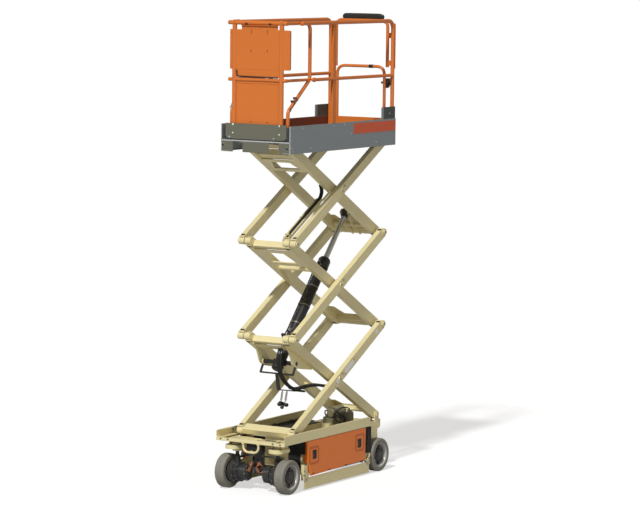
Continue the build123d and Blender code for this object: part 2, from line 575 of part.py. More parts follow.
rear_axle = bar_y(SPINDLE_RADIUS, REAR_AXLE_X, (-HALF + 8, HALF - 8), WHEEL_RADIUS)
beam_x = (REAR_AXLE_X - AXLE_BEAM / 2, REAR_AXLE_X + AXLE_BEAM / 2)
beam_z = (WHEEL_RADIUS - 35, WHEEL_RADIUS + 35)
rear_axle += block(beam_x, (-AXLE_PLATE_Y, AXLE_PLATE_Y), beam_z)
save("rear_axle", rear_axle)

# ---- steering and wheels --------------------------------------------------
drum_y = (HALF - 275, HALF - 118)
steer_arm_z = (STEER_ARM_Z, STEER_ARM_Z + 15)
knuckle = joined(
    bar_y(DRUM_RADIUS, FRONT_AXLE_X, drum_y, WHEEL_RADIUS),
    bar_y(DRUM_RADIUS + 14, FRONT_AXLE_X, (drum_y[1] - 76, drum_y[1]), WHEEL_RADIUS),
    bar_y(HUB_RADIUS, FRONT_AXLE_X, (drum_y[1] - 36, drum_y[1] + 13), WHEEL_RADIUS),
    bar_y(SPINDLE_RADIUS, FRONT_AXLE_X, (drum_y[1] - 1, HALF - 8), WHEEL_RADIUS),
    bar_z(KINGPIN_RADIUS, FRONT_AXLE_X, KINGPIN_Y, (WHEEL_RADIUS, 455)),
    block((FRONT_AXLE_X - STEER_ARM, FRONT_AXLE_X), (KINGPIN_Y - 15, KINGPIN_Y + 15), steer_arm_z),
    bar_z(20.0, FRONT_AXLE_X - STEER_ARM, KINGPIN_Y, steer_arm_z),
    bar_z(30.0, FRONT_AXLE_X, KINGPIN_Y, (WHEEL_RADIUS + 60, STEER_ARM_Z + 15)),
)
knuckle -= bar_z(10.05, FRONT_AXLE_X - STEER_ARM, KINGPIN_Y, (STEER_ARM_Z - 1, STEER_ARM_Z + 16))
save("knuckle_left", knuckle)
save("knuckle_right", mirrored(knuckle))

tie_pin = bar_z(10.0, FRONT_AXLE_X - STEER_ARM, KINGPIN_Y, (STEER_ARM_Z - 4, STEER_ARM_Z + 40))
tie_head = bar_z(18.0, FRONT_AXLE_X - STEER_ARM, KINGPIN_Y, (STEER_ARM_Z + 16, STEER_ARM_Z + 40))
tie_rod = joined(
    bar_y(10.0, FRONT_AXLE_X - STEER_ARM, (-KINGPIN_Y, KINGPIN_Y), STEER_ARM_Z + 28),
    *pair(tie_pin), *pair(tie_head),
)
save("tie_rod", tie_rod)

rim_half = WHEEL_WIDTH / 2 - 6
dish_z = rim_half - RIM_DISH
rim = joined(
    Cylinder(RIM_RADIUS, 2 * rim_half) - Cylinder(RIM_RADIUS - 9, 2 * rim_half),
    Pos(0, 0, rim_half - 6) * (Cylinder(RIM_RADIUS, 12) - Cone(RIM_RADIUS - 26, RIM_RADIUS - 12, 12)),
    Pos(0, 0, dish_z) * Cylinder(RIM_RADIUS - 5, 12),
    Pos(0, 0, dish_z) * Cone(62, 48, 44),
)
rim -= Cylinder(SPINDLE_RADIUS + PIN_CLEARANCE, 3 * rim_half)
tyre = Cylinder(WHEEL_RADIUS, WHEEL_WIDTH) - Cylinder(RIM_RADIUS, WHEEL_WIDTH)
tyre = fillet(tyre.edges().filter_by(GeomType.CIRCLE).sort_by(SortBy.RADIUS)[-2:], TYRE_SHOULDER)

# end, axle place, side
WHEELS = [
    ("front_left", FRONT_AXLE_X, 1), ("front_right", FRONT_AXLE_X, -1),
    ("rear_left", REAR_AXLE_X, 1), ("rear_right", REAR_AXLE_X, -1),
]
for name, axle_x, side in WHEELS:
    place = Pos(axle_x, side * (HALF - WHEEL_WIDTH / 2), WHEEL_RADIUS) * Rot(-90 * side, 0, 0)
    save(f"tyre_{name}", place * tyre)
    save(f"rim_{name}", place * rim)

# ---- side doors and pothole guards ----------------------------------------
door_low_z = TUB_FLOOR_Z
door_y = (DOOR_FACE_Y - DOOR_THICK, DOOR_FACE_Y)
door = plate_y([
    (DOOR_REAR_X, 153), (DOOR_FOOT_X, door_low_z), (DOOR_FRONT_X, DOOR_TOP_Z), (DOOR_REAR_X - 9, DOOR_TOP_Z),
], door_y)
flange_y = (DOOR_FACE_Y - DOOR_DEPTH, DOOR_FACE_Y - DOOR_THICK + 1)
slope = (DOOR_FRONT_X - DOOR_FOOT_X) / (DOOR_TOP_Z - door_low_z)
flange_low_x = DOOR_FOOT_X + slope * (FLANGE_LOW_Z - door_low_z)
door += plate_y([
    (flange_low_x - SHEET, FLANGE_LOW_Z), (flange_low_x, FLANGE_LOW_Z),
    (DOOR_FRONT_X, DOOR_TOP_Z), (DOOR_FRONT_X - SHEET, DOOR_TOP_Z),
], flange_y)
door += bar_x(HINGE_PIN_RADIUS, (DOOR_REAR_X - 22, TUB_FRONT_X + 30), HINGE_Y, DOOR_HINGE_Z)
for latch_x in (-363.0, 437.0):
    door -= block((latch_x - 32, latch_x + 32), (DOOR_FACE_Y - 10, DOOR_FACE_Y + 1), (285, 370))
    door += block((latch_x - 12, latch_x + 12), (DOOR_FACE_Y - 11, DOOR_FACE_Y - 2), (300, 355))
save("door_left", door)
save("door_right", mirrored(door))

guard_y = (HALF - 4 - GUARD_THICK, HALF - 4)
guard_pin_x = (GUARD_REAR_X - 2 * SHEET - 2, GUARD_FRONT_X + 2 * SHEET + 2)
guard = joined(
    block((GUARD_REAR_X, GUARD_FRONT_X), guard_y, (GUARD_LOW_Z, GUARD_TOP_Z)),
    bar_x(HINGE_PIN_RADIUS, guard_pin_x, HINGE_Y, GUARD_HINGE_Z),
)
save("guard_left", guard)
save("guard_right", mirrored(guard))

# ---- platform -------------------------------------------------------------
deck_low_z = DECK_Z - DECK_THICK
pivot_z = PLATFORM_PIN_Z
skirt = joined(
    block((REAR_X, DECK_FRONT_X), (HALF - PLATE, HALF), (SKIRT_LOW_Z, TOE_TOP_Z)),
    block((REAR_X, DECK_FRONT_X), (HALF - 25, HALF - 1), (SKIRT_LOW_Z, SKIRT_LOW_Z + SHEET)),
    block((REAR_X + 20, DECK_FRONT_X - 20), (HALF - 40, HALF - 1), (deck_low_z - 45, deck_low_z)),
    block((REAR_X + 18, -700), (HALF - PLATE, HALF), (TOE_TOP_Z - 1, DECK_Z + KICK_HEIGHT)),
)
ears = joined(*[
    plate_y([(-35, -35), (35, -35), (35, deck_low_z - pivot_z), (-35, deck_low_z - pivot_z)], (y, y + PLATE))
    for y in (OUTER_ARM_Y - BRACKET_GAP - PLATE, OUTER_FACE + BRACKET_GAP)
], pin_stub(0, (OUTER_ARM_Y - BRACKET_GAP - PLATE, OUTER_FACE + BRACKET_GAP + PLATE)))
track_low_z = pivot_z + ROLLER_RADIUS + SEAT_GAP
track_x = (FRONT_PIVOT_X - 400, DECK_FRONT_X - 10)
track = block(track_x, (INNER_ARM_Y - 42, INNER_ARM_Y - 4), (track_low_z, deck_low_z))
platform_side = joined(skirt, Pos(BASE_PIVOT_X, 0, pivot_z) * ears, track)
front_beam = block((DECK_FRONT_X - PLATE, DECK_FRONT_X), (-HALF + 1, HALF - 1), (SKIRT_LOW_Z, deck_low_z))
for y in ((-INNER_FACE - 14, -INNER_ARM_Y + 46), (INNER_ARM_Y - 46, INNER_FACE + 14)):
    front_beam -= block((DECK_FRONT_X - 20, DECK_FRONT_X + 1), y, (SKIRT_LOW_Z - 1, deck_low_z))
rear_beam = block((REAR_X, REAR_X + SHEET), (-HALF + 1, HALF - 1), (SKIRT_LOW_Z, deck_low_z))
deck = block((REAR_X, DECK_FRONT_X), (-HALF + 1, HALF - 1), (deck_low_z, DECK_Z))
save("platform_frame", deck, front_beam, rear_beam, platform_side, mirrored(platform_side))

# guard rails fixed to the platform
post_z = (DECK_Z, RAIL_Z)
rear_post_x = REAR_X + SHEET + RAIL_RADIUS
top_rail_line = [(x, FIXED_RAIL_Y, z) for x, z in (
    (TOP_RAIL_FRONT_X, RAIL_Z), (rear_post_x, RAIL_Z), (rear_post_x, DECK_Z))]
side_rail = joined(
    pipe(top_rail_line, 80.0, RAIL_RADIUS),
    pipe([(460, FIXED_RAIL_Y, MID_RAIL_Z), (rear_post_x, FIXED_RAIL_Y, MID_RAIL_Z)], 0, RAIL_RADIUS - 3),
    block((105, 155), (FIXED_RAIL_Y - 14, FIXED_RAIL_Y + 10), post_z),
)
hinge_y = (-FIXED_RAIL_Y, -GATE_HALF_WIDTH - 15.5)
hinge_x = (GATE_X - 12, GATE_X + 8)
hinges = [block(hinge_x, hinge_y, (DECK_Z + up, DECK_Z + up + 30)) for up in (174.0, 434.0)]
side_rails = joined(*pair(side_rail), *hinges)
save("side_rails", side_rails)
hoop_y = FIXED_RAIL_Y - 61.5
hoop_low_z = GATE_TOP_Z - 20
rear_hoop = pipe([
    (GATE_X - 12, -hoop_y, hoop_low_z), (GATE_X - 12, -hoop_y, RAIL_Z),
    (GATE_X - 12, hoop_y, RAIL_Z), (GATE_X - 12, hoop_y, hoop_low_z),
], 60.0, RAIL_RADIUS - 3)
for side in (-1, 1):
    y = sorted((side * hoop_y, side * FIXED_RAIL_Y))
    for z in (hoop_low_z + 15, hoop_low_z + 280):
        rear_hoop += block((GATE_X - 24, GATE_X), y, (z, z + 50))
save("rear_hoop", rear_hoop - side_rails)
pad_z = (RAIL_Z + RAIL_RADIUS - 3, RAIL_Z + PAD_RISE + 16)
save("hoop_pad", block((REAR_X + 1, GATE_X + 8), (-220, 252), pad_z))

gate_knee_z = GATE_TOP_Z - 80
gate_legs = [(GATE_X, -GATE_HALF_WIDTH, DECK_Z + 8), (GATE_X, -GATE_HALF_WIDTH, gate_knee_z),
             (GATE_X, -170, GATE_TOP_Z - 15), (GATE_X, 170, GATE_TOP_Z - 15),
             (GATE_X, GATE_HALF_WIDTH, gate_knee_z), (GATE_X, GATE_HALF_WIDTH, DECK_Z + 8)]
gate = joined(
    pipe(gate_legs, 60.0, 15.0),
    block((GATE_X - 4, GATE_X + 4), (-GATE_HALF_WIDTH, GATE_HALF_WIDTH), (DECK_Z + 8, TOE_TOP_Z)),
)
save("gate", gate)
gate_posts = []
for side in (-1, 1):
    y = sorted((side * (GATE_HALF_WIDTH + 24), side * (HALF - PLATE)))
    gate_posts.append(block((REAR_X, REAR_X + SHEET), y, (DECK_Z, TOE_TOP_Z)))
save("rear_toe_plates", *gate_posts)

# ---- roll-out extension ---------------------------------------------------
half_width = EXTENSION_HALF_WIDTH
front_x = DECK_FRONT_X - 4
runner_y = (half_width - 60, half_width - 20)
inner_toe_y = (half_width - 2 * SHEET, half_width - SHEET)
toe_board_z = (DECK_Z + 12, TOE_TOP_Z + 9)
extension_deck = joined(
    block((EXTENSION_REAR_X, front_x), (-half_width + 6, half_width - 6), (DECK_Z + 6, DECK_Z + 12)),
    *pair(block((EXTENSION_REAR_X, front_x), runner_y, (DECK_Z + SEAT_GAP, DECK_Z + 7))),
    *pair(block((EXTENSION_REAR_X, front_x - SHEET), inner_toe_y, (DECK_Z + 6, TOE_TOP_Z - 12))),
)
save("extension_deck", extension_deck)
toe_board = block((front_x - SHEET, front_x), (-half_width + 6, half_width - 6), toe_board_z)
save("extension_toe_board", toe_board)
post_x = front_x - SHEET - FRONT_POST_RADIUS
front_frame = joined(
    *pair(bar_z(FRONT_POST_RADIUS, post_x, FRONT_POST_Y, (DECK_Z + 12, RAIL_Z))),
    bar_y(20.0, post_x, (-EXTENSION_RAIL_Y - 9.5, EXTENSION_RAIL_Y + 9.5), RAIL_Z),
    bar_y(17.0, post_x, (-EXTENSION_RAIL_Y - 6.5, EXTENSION_RAIL_Y + 6.5), MID_RAIL_Z),
)
save("front_frame", front_frame)
extension_y = EXTENSION_RAIL_Y
foot_x = post_x - FRONT_POST_RADIUS - 14
extension_line = [(x, extension_y, z) for x, z in (
    (post_x, RAIL_Z), (EXTENSION_POST_X, RAIL_Z), (EXTENSION_POST_X, MID_RAIL_Z),
    (foot_x, DECK_Z + 275), (foot_x, DECK_Z + 12))]
extension_side = joined(
    pipe(extension_line, [70, 60, 60], EXTENSION_RAIL_RADIUS),
    pipe([(post_x, extension_y, MID_RAIL_Z), (EXTENSION_POST_X, extension_y, MID_RAIL_Z)], 0, 14.0),
)
save("extension_rails", *[side - front_frame for side in pair(extension_side)])
panel_y = FRONT_POST_Y - FRONT_POST_RADIUS
save("front_panel", block((post_x - 3, post_x + 3), (-panel_y, panel_y), (DECK_Z + 12, MID_RAIL_Z - 17)))
save("front_plate", block((front_x - SHEET, front_x - 1), (-305, HALF - 26), (MID_RAIL_Z + 95, RAIL_Z - 62)))
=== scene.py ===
"""Looks of the electric slab scissor lift: finishes for every CAD part and the small parts on them.

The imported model's frame: +X the steering end, +Y the machine's left, +Z up. Shapes are written in the
part's own millimetres, and piece() and grown() turn them into metres of that frame.
"""
import bpy, bmesh, json, math
from mathutils import Matrix, Vector


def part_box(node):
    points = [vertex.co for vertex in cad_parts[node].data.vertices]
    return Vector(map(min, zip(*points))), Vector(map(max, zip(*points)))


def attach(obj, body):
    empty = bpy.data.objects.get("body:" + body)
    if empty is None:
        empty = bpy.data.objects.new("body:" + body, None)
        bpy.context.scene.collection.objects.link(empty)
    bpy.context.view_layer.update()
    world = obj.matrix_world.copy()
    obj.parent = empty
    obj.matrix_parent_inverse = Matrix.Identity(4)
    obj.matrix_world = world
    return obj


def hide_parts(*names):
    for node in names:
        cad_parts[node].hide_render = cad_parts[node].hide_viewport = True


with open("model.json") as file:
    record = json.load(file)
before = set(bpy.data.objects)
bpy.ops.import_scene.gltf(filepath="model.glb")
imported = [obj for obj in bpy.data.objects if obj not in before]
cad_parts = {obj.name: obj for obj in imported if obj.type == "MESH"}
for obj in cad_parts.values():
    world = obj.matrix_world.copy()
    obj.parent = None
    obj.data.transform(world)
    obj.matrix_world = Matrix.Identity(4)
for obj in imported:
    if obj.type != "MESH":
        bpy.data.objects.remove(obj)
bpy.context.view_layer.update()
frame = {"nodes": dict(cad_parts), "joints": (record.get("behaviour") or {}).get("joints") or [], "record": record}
NODES = frame["nodes"]
JOINTS = {joint["name"]: joint for joint in frame["joints"]}

MM = 0.001

# ---- finishes: linear colours --------------------------------------------------
CREAM = (0.80, 0.70, 0.385)
ORANGE = (0.70, 0.185, 0.028)
GREY = (0.255, 0.285, 0.30)
TYRE_GREY = (0.215, 0.205, 0.175)
DARK = (0.018, 0.018, 0.019)
RUBBER_BLACK = (0.012, 0.012, 0.012)
STEEL = (0.42, 0.41, 0.38)
PRIMER = (0.10, 0.085, 0.07)
DUST = (0.42, 0.36, 0.27)


# ---- shader groups -------------------------------------------------------------
def shader_group(name, inputs, outputs):
    """Empty group of number sockets: inputs with their defaults, outputs by name."""
    tree = bpy.data.node_groups.new(name, "ShaderNodeTree")
    for label, default in inputs.items():
        socket = tree.interface.new_socket(label, in_out="INPUT", socket_type="NodeSocketFloat")
        socket.default_value = default
    for label in outputs:
        tree.interface.new_socket(label, in_out="OUTPUT", socket_type="NodeSocketFloat")
    return tree, tree.nodes.new("NodeGroupInput"), tree.nodes.new("NodeGroupOutput")


def node(tree, kind, values=(), **settings):
    """A node with its settings; inputs, by name or number, get a value or another node's output."""
    made = tree.nodes.new(kind)
    for key, value in settings.items():
        setattr(made, key, value)
    for key, value in dict(values).items():
        if hasattr(value, "is_output"):
            tree.links.new(value, made.inputs[key])
        else:
            made.inputs[key].default_value = value
    return made


def math_node(tree, operation, first, second=0.0, clamp=False):
    return node(tree, "ShaderNodeMath", {0: first, 1: second}, operation=operation,
                use_clamp=clamp).outputs[0]


def noise(tree, vector, scale, detail=3.0, roughness=0.55):
    values = {"Vector": vector, "Scale": scale, "Detail": detail, "Roughness": roughness}
    return node(tree, "ShaderNodeTexNoise", values).outputs["Fac"]


def ramp(tree, value, low, high):
    """0 below low, 1 above high, smooth between."""
    values = {"Value": value, "From Min": low, "From Max": high}
    return node(tree, "ShaderNodeMapRange", values, interpolation_type="SMOOTHSTEP").outputs["Result"]


def object_place(tree):
    return node(tree, "ShaderNodeTexCoord").outputs["Object"]


def face_normal(tree):
    return node(tree, "ShaderNodeNewGeometry").outputs["Normal"]


def part_of(tree, vector, axis):
    return node(tree, "ShaderNodeSeparateXYZ", {0: vector}).outputs[axis]


def edge_wear_group():
    """Mask of chipped and rubbed corners."""
    tree, into, out = shader_group("edge wear", {"Radius": 0.004, "Amount": 0.4, "Grain": 60.0}, ["Mask"])
    place = object_place(tree)
    rounded = node(tree, "ShaderNodeBevel", {"Radius": into.outputs["Radius"]}, samples=4).outputs[0]
    dot = node(tree, "ShaderNodeVectorMath", {0: rounded, 1: face_normal(tree)}, operation="DOT_PRODUCT")
    corner = math_node(tree, "SUBTRACT", 1.0, dot.outputs["Value"], clamp=True)
    chips = noise(tree, place, into.outputs["Grain"], 5.0, 0.65)
    limit = math_node(tree, "SUBTRACT", 1.0, into.outputs["Amount"])
    worn = math_node(tree, "SUBTRACT", math_node(tree, "MULTIPLY", corner, 6.0), limit)
    mask = math_node(tree, "MULTIPLY", worn, ramp(tree, chips, 0.48, 0.62), clamp=True)
    tree.links.new(mask, out.inputs["Mask"])
    return tree


def dust_group():
    """Mask of dust: on faces that look up, and thicker near the ground."""
    tree, into, out = shader_group("settled dust", {"Ground": 0.35, "Ledges": 0.25, "Grain": 9.0}, ["Mask"])
    place = object_place(tree)
    low = math_node(tree, "SUBTRACT", 1.0, ramp(tree, part_of(tree, place, "Z"), 0.02, 0.55))
    ledge = ramp(tree, part_of(tree, face_normal(tree), "Z"), 0.5, 0.95)
    both = math_node(tree, "ADD", math_node(tree, "MULTIPLY", low, into.outputs["Ground"]),
                     math_node(tree, "MULTIPLY", ledge, into.outputs["Ledges"]))
    cloud = ramp(tree, noise(tree, place, into.outputs["Grain"], 6.0, 0.6), 0.32, 0.72)
    tree.links.new(math_node(tree, "MULTIPLY", both, cloud, clamp=True), out.inputs["Mask"])
    return tree


def paint_skin_group():
    """Tone of a painted face, wandering round 1, and the height of its orange peel."""
    tree, into, out = shader_group("paint skin", {"Mottle": 0.08, "Peel": 420.0}, ["Tone", "Height"])
    place = object_place(tree)
    broad = math_node(tree, "SUBTRACT", noise(tree, place, 1.7, 4.0), 0.5)
    fine = math_node(tree, "SUBTRACT", noise(tree, place, 24.0, 3.0), 0.5)
    wander = math_node(tree, "ADD", broad, math_node(tree, "MULTIPLY", fine, 0.45))
    tone = math_node(tree, "ADD", math_node(tree, "MULTIPLY", wander, into.outputs["Mottle"]), 1.0)
    tree.links.new(tone, out.inputs["Tone"])
    tree.links.new(noise(tree, place, into.outputs["Peel"], 2.0), out.inputs["Height"])
    return tree


EDGE_WEAR = edge_wear_group()
SETTLED_DUST = dust_group()
PAINT_SKIN = paint_skin_group()


def use_group(tree, group, **values):
    return node(tree, "ShaderNodeGroup", values, node_tree=group)


def mixed(tree, factor, first, second):
    """Colour mix; each colour is a socket or three numbers."""
    first, second = (c if hasattr(c, "is_output") else (*c, 1.0) for c in (first, second))
    return node(tree, "ShaderNodeMix", {0: factor, 6: first, 7: second},
                data_type="RGBA", blend_type="MIX").outputs[2]


def scaled_colour(tree, colour, tone):
    values = {0: colour, "Scale": tone}
    return node(tree, "ShaderNodeVectorMath", values, operation="SCALE").outputs["Vector"]


def new_material(name, roughness, metallic=0.0, coat=0.0):
    material = bpy.data.materials.new(name)
    material.use_nodes = True
    shader = material.node_tree.nodes["Principled BSDF"]
    for label, value in (("Roughness", roughness), ("Metallic", metallic), ("Coat Weight", coat),
                         ("Coat Roughness", 0.18)):
        shader.inputs[label].default_value = value
    return material, material.node_tree, shader


def finished(tree, shader, colour, rough, height, strength, distance, normal=None):
    """Gives a material's shader its colour, roughness and bumps."""
    values = {"Strength": strength, "Distance": distance, "Height": height}
    if normal:
        values["Normal"] = normal
    bump = node(tree, "ShaderNodeBump", values).outputs[0]
    for label, value in (("Base Color", colour), ("Roughness", rough), ("Normal", bump)):
        tree.links.new(value, shader.inputs[label])


def painted(name, colour, roughness=0.38, coat=0.2, mottle=0.09, ground=0.14, ledges=0.15, wear=0.3,
            edge=2.5):
    """Sprayed paint: orange peel, slight mottle, rubbed corners and dust."""
    material, tree, shader = new_material(name, roughness, coat=coat)
    skin = use_group(tree, PAINT_SKIN, Mottle=mottle, Peel=380.0)
    dust = use_group(tree, SETTLED_DUST, Ground=ground, Ledges=ledges)
    worn = use_group(tree, EDGE_WEAR, Radius=0.003, Amount=wear)
    base = scaled_colour(tree, colour, skin.outputs["Tone"])
    base = mixed(tree, worn.outputs["Mask"], base, PRIMER)
    base = mixed(tree, dust.outputs["Mask"], base, DUST)
    rough = math_node(tree, "ADD", math_node(tree, "MULTIPLY", dust.outputs["Mask"], 0.4), roughness,
                      clamp=True)
    rolled = node(tree, "ShaderNodeBevel", {"Radius": edge * MM}, samples=6).outputs[0]
    finished(tree, shader, base, rough, skin.outputs["Height"], 0.12, 0.0006, rolled)
    return material


def bare_metal(name, colour, roughness=0.32, grain=90.0, stain=0.35, metallic=1.0):
    """Plated or turned metal with cloudy stains and fine scratches."""
    material, tree, shader = new_material(name, roughness, metallic)
    place = object_place(tree)
    cloud = noise(tree, place, grain * 0.25, 4.0)
    fine = noise(tree, place, grain * 8.0, 2.0)
    tone = math_node(tree, "ADD", math_node(tree, "MULTIPLY", cloud, stain), 1.0 - stain * 0.55)
    rough = math_node(tree, "ADD", math_node(tree, "MULTIPLY", cloud, 0.22), roughness - 0.1, clamp=True)
    finished(tree, shader, scaled_colour(tree, colour, tone), rough, fine, 0.1, 0.0004)
    return material


def rubbery(name, colour, roughness=0.62, grain=260.0, ground=0.35, mottle=0.2, depth=0.0008):
    """Rubber or moulded plastic: fine grain, greyed by dust."""
    material, tree, shader = new_material(name, roughness)
    skin = use_group(tree, PAINT_SKIN, Mottle=mottle, Peel=grain)
    dust = use_group(tree, SETTLED_DUST, Ground=ground, Ledges=0.12, Grain=14.0)
    base = scaled_colour(tree, colour, skin.outputs["Tone"])
    base = mixed(tree, dust.outputs["Mask"], base, DUST)
    rough = math_node(tree, "ADD", math_node(tree, "MULTIPLY", skin.outputs["Height"], 0.2),
                      roughness - 0.1)
    finished(tree, shader, base, rough, skin.outputs["Height"], 0.3, depth)
    return material


cream = painted("cream paint", CREAM)
orange = painted("orange paint", ORANGE, mottle=0.07, ground=0.06, ledges=0.08, wear=0.25)
grey = painted("grey paint", GREY, roughness=0.42, coat=0.15)
dark_paint = painted("black paint", DARK, roughness=0.36, coat=0.2, ground=0.10, ledges=0.04, wear=0.2)
tyre_rubber = rubbery("non-marking tyre rubber", TYRE_GREY, 0.72, grain=120.0, ground=0.22, mottle=0.55)
black_rubber = rubbery("black rubber", RUBBER_BLACK, 0.55)
black_plastic = rubbery("black plastic", (0.02, 0.02, 0.021), 0.48, grain=500.0, ground=0.2)
chrome = bare_metal("hard chrome", (0.78, 0.78, 0.80), 0.16, stain=0.12)
zinc = bare_metal("zinc plate", STEEL, 0.36)
dull_steel = bare_metal("dull steel", (0.30, 0.29, 0.27), 0.42, stain=0.5)
bright_bolt = bare_metal("bright bolt", (0.74, 0.74, 0.70), 0.34, stain=0.2)
copper = bare_metal("copper", (0.62, 0.30, 0.16), 0.34)
rim_silver = painted("silver rim paint", (0.42, 0.42, 0.40), roughness=0.3, coat=0.2, ground=0.25, wear=0.4)
motor_enamel = painted("grey motor enamel", (0.045, 0.048, 0.052), roughness=0.28, coat=0.5, ground=0.10,
                       ledges=0.05, wear=0.2)
gloss_black = painted("gloss black", (0.012, 0.012, 0.013), roughness=0.24, coat=0.5, ground=0.0,
                      ledges=0.05)
# matt black: the colour of real black parts, and painted shade where it fills holes, slots, gaps and views into
# the machine
matt_black_and_painted_shade = rubbery("matt black and painted shade", (0.010, 0.010, 0.010), 0.7, ground=0.05)
copper_lead = rubbery("red brown lead sleeve", (0.34, 0.10, 0.035), 0.5, grain=400.0, ground=0.15)
edge_grey = painted("light grey edge", (0.50, 0.51, 0.49), roughness=0.4, coat=0.1, ledges=0.1)
kick_green = painted("olive grey paint", (0.060, 0.072, 0.058), roughness=0.5, coat=0.05)
stripe_red = painted("red orange stripe", (0.72, 0.098, 0.022), roughness=0.35, coat=0.2, ledges=0.05,
                     wear=0.15)
# brown that paints the shade seen through the slots of the front plates
slot_shade_brown = painted("shaded brown", (0.10, 0.055, 0.012), roughness=0.6, coat=0.0)
label_white = painted("blank plate", (0.88, 0.87, 0.84), roughness=0.35, coat=0.1, ground=0.1, ledges=0.05,
                      wear=0.1)
tread_plate = bare_metal("tread plate", (0.34, 0.34, 0.32), 0.45, stain=0.5)
# the orange paint made brighter for the doors' side faces: painted light
painted_light_door_orange = painted("door orange paint with painted light", (0.90, 0.205, 0.014), mottle=0.06, ground=0.05, ledges=0.05,
                      wear=0.2)
front_grey = painted("olive grey front paint", (0.150, 0.150, 0.112), roughness=0.42, coat=0.1)
# orange paint darkened into painted shade, for the inner faces of the toe boards
painted_shade_orange = painted("orange paint darkened as painted shade", (0.165, 0.030, 0.016), roughness=0.4, coat=0.1)
# cream paint darkened into painted shade, for the hydraulic unit
olive = painted("cream paint in painted shade", (0.20, 0.185, 0.105), roughness=0.42, coat=0.15, mottle=0.3)
# darker orange that paints the shade round the doors' latch recesses
frame_shade = painted("door recess outline in painted shade", (0.40, 0.085, 0.012), roughness=0.5, coat=0.0)
pad_vinyl = rubbery("padded vinyl", (0.022, 0.020, 0.018), 0.5, grain=330.0, ground=0.0, depth=0.0014)

# finishes of each material slot; the first is the one that CAD parts take
FINISHES = {
    "cream_paint": (cream, label_white),
    "orange_paint": (orange, painted_light_door_orange, stripe_red, painted_shade_orange, slot_shade_brown, frame_shade),
    "grey_paint": (grey, edge_grey, kick_green, front_grey, tread_plate),
    "dark_metal": (dark_paint, gloss_black, matt_black_and_painted_shade, motor_enamel, olive),
    "steel": (zinc, dull_steel, bright_bolt, copper),
    "rubber": (black_rubber, copper_lead, pad_vinyl),
    "tyre": (tyre_rubber,), "rim": (rim_silver,), "chrome": (chrome,), "black_plastic": (black_plastic,),
}
for entry in frame["record"]["subparts"]:
    NODES[entry["node"]].data.materials.clear()
    NODES[entry["node"]].data.materials.append(FINISHES[entry["material_slot"]][0])

# ---- places: design millimetres, X as in the part's source ---------------------
CHASSIS_FRONT_X = 957.5
SHIFT_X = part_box("chassis_frame")[1].x - CHASSIS_FRONT_X * MM
SIDES = (("left", 1), ("right", -1))
TILT = math.radians(29.75)          # of every arm
ARM_LENGTH = 1800.0
MIDDLE = ARM_LENGTH / 2
REAR_PIVOT_X, BASE_PIVOT_Z = -885.0, 527.0
FRONT_PIVOT_X = REAR_PIVOT_X + ARM_LENGTH * math.cos(TILT)
RISE = ARM_LENGTH * math.sin(TILT)
ARM_SIDES = {"inner": (188.0, 240.0), "outer": (260.0, 312.0)}     # inside and outside faces
HALF = 380.0                        # half the width over the platform
DECK_Z, RAIL_Z, MID_RAIL_Z = 3266.0, 4347.0, 3825.0
SKIRT_LOW, TOE_TOP = DECK_Z - 109.0, DECK_Z + 146.0
RAIL_Y = 351.5
FRONT_POST_X, FRONT_POST_Y = 880.5, 258.0
DOOR_FACE, DOOR_HINGE_Y, DOOR_HINGE_Z = 379.0, 372.0, 150.0
GUARD_X = (-550.0, 604.0)
KINGPIN_Y, KINGPIN_Z = 225.0, 300.0
HOSE_YS = (66, 84, 102)
WHEEL_RADIUS = 161.5
AXLE_X = {"front": 830.0, "rear": -760.0}
WHEEL_Y = 330.0
CYLINDER_AXIS = Vector(JOINTS["cylinder_rod"]["axis"])
TRUNNION = Vector((466.0, 0.0, 1166.0))
Y_AXIS = Vector((0, 1, 0))
FACING_AHEAD = Matrix(((0, 0, 1, 0), (1, 0, 0, 0), (0, 1, 0, 0), (0, 0, 0, 1)))     # (a, b, c) is (Y, Z, X)
FACING_SIDE = Matrix(((1, 0, 0, 0), (0, 0, 1, 0), (0, 1, 0, 0), (0, 0, 0, 1)))      # (a, b, c) is (X, Z, Y)
ALONG_CYLINDER = Matrix(((0, 0, 1, 0), (0, 1, 0, 0), (-1, 0, 0, 0), (0, 0, 0, 1)))  # a turned part's Z is X


def frame_at(origin, ahead, above):
    """Matrix whose X runs ahead and whose Z points as near as it can to above."""
    ahead = Vector(ahead).normalized()
    side = Vector(above).cross(ahead).normalized()
    up = ahead.cross(side)
    return Matrix.Translation(Vector(origin)) @ Matrix((ahead, side, up)).transposed().to_4x4()


def turning_about(origin, axis):
    """Matrix whose Z is the axis of a turned part."""
    axis = Vector(axis).normalized()
    return Matrix.Translation(Vector(origin)) @ axis.to_track_quat("Z", "Y").to_matrix().to_4x4()


def arm_frame(kind, stack):
    """Frame of an arm: X along it from its lower pin, Y to the machine's left, Z above it."""
    low_z = BASE_PIVOT_Z + (stack - 1) * RISE
    cosine, sine = math.cos(TILT), math.sin(TILT)
    if kind == "inner":
        ahead, above, start = Vector((cosine, 0, sine)), Vector((-sine, 0, cosine)), REAR_PIVOT_X
    else:
        ahead, above, start = Vector((-cosine, 0, sine)), Vector((sine, 0, cosine)), FRONT_PIVOT_X
    turn = Matrix((ahead, Y_AXIS, above)).transposed().to_4x4()
    return Matrix.Translation((start, 0, low_z)) @ turn


CYLINDER = frame_at(TRUNNION, CYLINDER_AXIS, (0, 0, 1))


# ---- shapes: (points, faces) in design millimetres ---------------------------
def placed(shape, matrix):
    points, faces = shape
    return [matrix @ Vector(p) for p in points], faces


def box(x, y, z):
    points = [(a, b, c) for c in z for b in y for a in x]
    return points, [(0, 2, 3, 1), (4, 5, 7, 6), (0, 1, 5, 4), (2, 6, 7, 3), (0, 4, 6, 2), (1, 3, 7, 5)]


